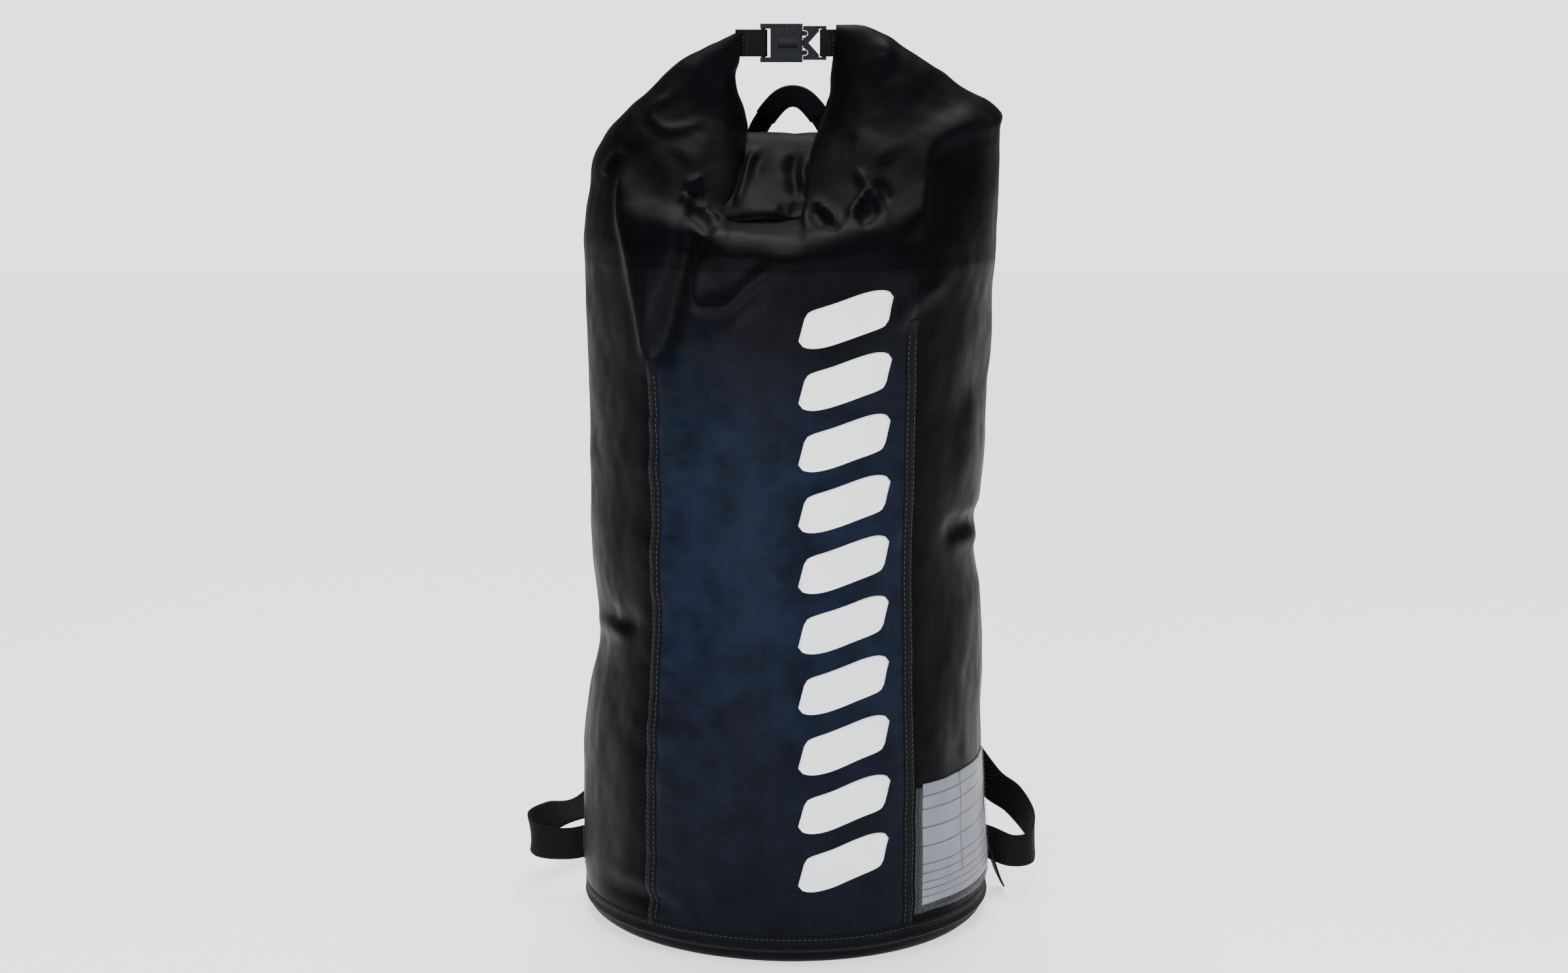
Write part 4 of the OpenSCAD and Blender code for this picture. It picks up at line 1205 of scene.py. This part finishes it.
def pad_foam(side, path, w, out):
    """Foam in mesh cloth, from a slightly slim start, since the simulation makes it swell."""
    across = np.linspace(-1, 1, 17)
    thick = 2.9
    middle_grid = path[:, None] + across[None, :, None] * 27.6 * w[:, None]
    ob = slab(side + "_pad_foam", middle_grid + thick * out[:, None], middle_grid - thick * out[:, None])
    swell(ob)
    pin_channels(ob, path, w, out)
    me = ob.data
    at = me.attributes.get("cloth") or me.attributes.new("cloth", "FLOAT_VECTOR", "POINT")
    co = np.array([v.co for v in me.vertices])
    at.data.foreach_set("vector", co[:, [0, 2, 1]].astype(np.float32).ravel())
    material(ob, PAD_MESH)
    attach(ob, side + "_strap")
    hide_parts(side + "_pad")


def pad_cover(side, path, w, out):
    """Binding round the pad's edge, the webbing down its middle, and their stitches and bar tacks."""
    edge = np.concatenate([path + 28.6 * w, (path - 28.6 * w)[::-1]])
    loop = along(np.concatenate([edge, edge[:1]]), 260)
    near = np.argmin(np.linalg.norm(loop[:, None] - path[None], axis=2), axis=1)
    strap(side + "_pad_binding", loop, out[near], 8.6, 2.2, SEAM_TAPE, side + "_strap")
    web = path + out * 6.4
    ob = strap(side + "_pad_web", web, sideways(PAD_STEPS), 25, 1.6, WEB, side + "_strap")
    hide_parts(side + "_pad_webbing")
    runs = [(web + w * e + out * .95, out) for e in (-10.4, 10.4)]
    for row in (3, 5, 24, 26, 49, 51):
        q = np.linspace(-11, 11, 20)[:, None]
        runs.append((web[row] + w[row] * q + out[row] * 1.0, np.repeat(out[row][None], 20, 0)))
    runs += [(path + w * e + out * 4.2, out) for e in (-26.2, 26.2)]
    stitches(side + "_pad_stitches", runs, 2.6, 1.4, .34, side + "_strap")


def pad_end(side, sgn, path, out):
    """The webbing that holds the adjuster, and the free end below it."""
    lock = path[-1] + np.array([0, 0, -6.0])
    loop = np.array([path[-2] + out[-2] * 5.0, path[-1] + out[-1] * 3.4, lock + [0, 3.4, -1.0],
                     lock + [0, 2.6, -3.4], lock + [0, 0, -4.4], lock + [0, -2.6, -3.4],
                     lock + [0, -3.2, 0], path[-1] - out[-1] * 3.2, path[-3] - out[-3] * 3.6])
    strap(side + "_lock_loop", along(loop, 44), sideways(44), 25, 1.2, WEB, side + "_strap")
    tail = np.array([lock + [0, 1.2, -18.5], lock + [0, 3.2, -20], lock + [0, 3.6, -28],
                     lock + [0, 2.4, -60], lock + [sgn * 2.0, 1.2, -90], lock + [sgn * 3.0, .6, -111]])
    ob = strap(side + "_tail_webbing", along(tail, 60), sideways(60), 25, 1.6, WEB, side + "_strap")
    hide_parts(side + "_tail")


def pads():
    """Both padded straps."""
    for side, sgn in (("left", -1), ("right", 1)):
        path = pad_line(sgn)
        _, w, out = frames(path, sideways(PAD_STEPS))
        out = -out
        pad_foam(side, path, w, out)
        pad_cover(side, path, w, out)
        pad_end(side, sgn, path, out)


def bake(ob):
    """Applies every modifier."""
    dg = bpy.context.evaluated_depsgraph_get()
    me = bpy.data.meshes.new_from_object(ob.evaluated_get(dg))
    old = ob.data
    ob.modifiers.clear()
    ob.data = me
    bpy.data.meshes.remove(old)
    me.polygons.foreach_set("use_smooth", [True] * len(me.polygons))


def subdivide(ob):
    m = ob.modifiers.new("soft", "SUBSURF")
    m.levels = m.render_levels = 1
    bake(ob)


def swell(ob):
    """Voxel remesh, then cloth under pressure without gravity, capped, applied and subdivided."""
    m = ob.modifiers.new("voxels", "REMESH")
    m.mode = "VOXEL"
    m.voxel_size = .0042
    bake(ob)
    start = np.array([v.co for v in ob.data.vertices])
    m = ob.modifiers.new("cloth", "CLOTH")
    s = m.settings
    s.quality = 5
    s.mass = .25
    s.tension_stiffness = s.compression_stiffness = 18
    s.shear_stiffness = 8
    s.bending_stiffness = 2
    s.use_pressure = True
    s.uniform_pressure_force = 4
    s.effector_weights.gravity = 0
    m.collision_settings.use_self_collision = False
    m.point_cache.frame_start, m.point_cache.frame_end = 1, 16
    scene = bpy.context.scene
    for f in range(1, 17):
        scene.frame_set(f)
    bake(ob)
    scene.frame_set(1)
    now = np.array([v.co for v in ob.data.vertices])
    move = now - start
    size = np.linalg.norm(move, axis=1, keepdims=True)
    cap = .0032
    now = start + move * np.minimum(1, cap / np.maximum(size, 1e-9))
    ob.data.vertices.foreach_set("co", now.ravel())
    subdivide(ob)


def pin_channels(ob, path, w, out):
    """Sewn channels: the webbing's stitches press the foam down, and the rim is pinched by its binding."""
    me = ob.data
    co = np.array([v.co for v in me.vertices]) * 1000
    near = np.argmin(np.linalg.norm(co[:, None] - path[None], axis=2), axis=1)
    rel = co - path[near]
    x = (rel * w[near]).sum(1)
    h = (rel * out[near]).sum(1)
    pinch = 1 - .30 * np.exp(-((np.abs(x) - 12.5) / 3.2) ** 2) - .42 * smooth(23, 29, np.abs(x))
    limit = np.sign(h) * np.minimum(np.abs(h), 5.4)
    co += out[near] * (limit * pinch - h)[:, None]
    me.vertices.foreach_set("co", (co / 1000).ravel())


def yoke():
    """The reinforced band across the back that the straps hang from."""
    def plate(s, t):
        return 180 + (s - .5) * 54, 470.4 + t * 32.2

    def band(s, t):
        return 180 + (s - .5) * 53.4, 479 + t * 15

    a = patch("yoke_plate", plate, .1, 2.2, 61, 15)
    material(a, SIDE_FABRIC)
    b = patch("yoke_band", band, 2.0, 1.8, 61, 9)
    material(b, WEB)
    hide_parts("strap_yoke")
    runs = [line_on_wall(180 - 26, z, 180 + 26, z, 2.5) for z in (472.6, 500.4)]
    runs += [line_on_wall(180 - 26, z, 180 + 26, z, 4.1) for z in (480.4, 492.6)]
    for e in (-21, -9, 9, 21):
        runs += [line_on_wall(180 + e - 4, 480.6, 180 + e + 4, 492.4, 4.1, 12),
                 line_on_wall(180 + e - 4, 492.4, 180 + e + 4, 480.6, 4.1, 12)]
    stitches("yoke_stitches", runs, 2.4, 1.1, .34)


# ------------------------------------------------------------------ information pocket

def pocket():
    """The welded pocket low on the right side, its card and its clear window."""
    p0 = 266 + 38.5 + 2 - 270
    turn = math.degrees(136 / RADIUS)
    edge = math.degrees(6 / RADIUS)
    z0, z1 = 28.0, 125.0

    # Welded frame of the pocket: both sides and the bottom
    parts = []
    p1 = p0 + turn
    for name, a, b, lo, hi in (("left", p0, p0 + edge, z0, z1), ("right", p1 - edge, p1, z0, z1),
                               ("foot", p0 + edge, p1 - edge, z0, z0 + 6)):
        nu, nv = (5, 60) if name != "foot" else (70, 5)

        def outline(s, t, a=a, b=b, lo=lo, hi=hi):
            return a + (b - a) * s, lo + (hi - lo) * t

        parts.append(patch("pocket_" + name, outline, .2, .9, nu, nv))
        material(parts[-1], POCKET)
    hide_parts("info_pocket")

    s, t = np.meshgrid(np.linspace(0, 1, 73), np.linspace(0, 1, 49), indexing="ij")
    phi = p0 + edge + .25 + (turn - 2 * edge - .5) * s
    z = z0 + 6.5 + (z1 - z0 - 4.5) * t
    outer, _ = on_wall(phi, z, .75)
    inner, _ = on_wall(phi, z, .25)
    uv = np.stack([(turn - 2 * edge) * s * 2.65, (z - z0 - 6.5), 0 * s], -1)
    ob = slab("card_sheet", outer, inner, uv, body="card")
    material(ob, CARD)
    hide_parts("info_card")

    def window(s, t):
        return p0 + turn * s, z0 + (z1 - z0) * t

    ob = patch("pocket_window", window, 1.25, .45, 73, 49)
    material(ob, VINYL)
    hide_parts("info_window")
    e = math.degrees(3 / RADIUS)
    runs = [line_on_wall(p0 + e, z1 - 2, p0 + e, z0 + 3, 1.9),
            line_on_wall(p0 + e, z0 + 3, p1 - e, z0 + 3, 1.9),
            line_on_wall(p1 - e, z0 + 3, p1 - e, z1 - 2, 1.9)]
    stitches("pocket_stitches", runs, 2.4, 1.2, .3)


seam_tapes()
base_cloth()
base_welt()
print_blocks()
roll()
tabs()
lower_webs()
loose_end()
anchors()
haul_handle()
handle_foot()
kept_nodes()
pads()
yoke()
pocket()

# ------------------------------------------------------------------ camera, light, floor

camera_data = bpy.data.cameras.new("camera")
camera = bpy.data.objects.new("camera", camera_data)
bpy.context.scene.collection.objects.link(camera)
camera.location = (-0.0068, -1.9, 0.65)
camera.rotation_euler = (math.radians(90 - 9.59), 0, 0)
camera_data.sensor_width = 36
camera_data.lens = 57.7
camera_data.clip_end = 30
bpy.context.scene.camera = camera


def area_light(name, place_at, target, size, power, colour=(1, 1, 1)):
    data = bpy.data.lights.new(name, "AREA")
    data.shape = "RECTANGLE"
    data.size, data.size_y = size
    data.energy = power
    data.color = colour
    ob = bpy.data.objects.new(name, data)
    bpy.context.scene.collection.objects.link(ob)
    ob.location = place_at
    ob.rotation_euler = (Vector(target) - Vector(place_at)).to_track_quat("-Z", "Y").to_euler()
    return ob


area_light("key", (-.75, -2.0, .62), (-.02, 0, .28), (.8, .8), 30, (0.88, 0.94, 1.0))
area_light("fill", (1.7, -1.3, .9), (0, 0, .35), (.7, 1.4), 16, (0.95, 0.97, 1.0))
area_light("top", (-.2, -.5, 2.6), (0, 0, .4), (1.6, 1.2), 22)
sun_data = bpy.data.lights.new("sky", "SUN")
sun_data.energy = 3.5
sun_data.angle = math.radians(40)
sun = bpy.data.objects.new("sky", sun_data)
sun.rotation_euler = (math.radians(-24), 0, 0)
bpy.context.scene.collection.objects.link(sun)
world = bpy.data.worlds.new("studio")
world.use_nodes = True
tree = world.node_tree
tree.nodes["Background"].inputs[0].default_value = (1, 1, 1, 1)
tree.nodes["Background"].inputs[1].default_value = 0.16
backdrop = tree.nodes.new("ShaderNodeBackground")
backdrop.inputs[1].default_value = 2.4
sight = tree.nodes.new("ShaderNodeLightPath")
either = tree.nodes.new("ShaderNodeMixShader")
tree.links.new(sight.outputs["Is Camera Ray"], either.inputs[0])
tree.links.new(tree.nodes["Background"].outputs[0], either.inputs[1])
tree.links.new(backdrop.outputs[0], either.inputs[2])
tree.links.new(either.outputs[0], tree.nodes["World Output"].inputs[0])
backdrop.inputs[0].default_value = (1, 1, 1, 1)
bpy.context.scene.world = world
REACH = 6000  # half the floor's width
floor = build("floor", [[x * REACH, y * REACH, 0] for x, y in ((-1, -1), (1, -1), (1, 1), (-1, 1))],
              [[0, 1, 2, 3]])
material(floor, floor_paint("pale_floor"))
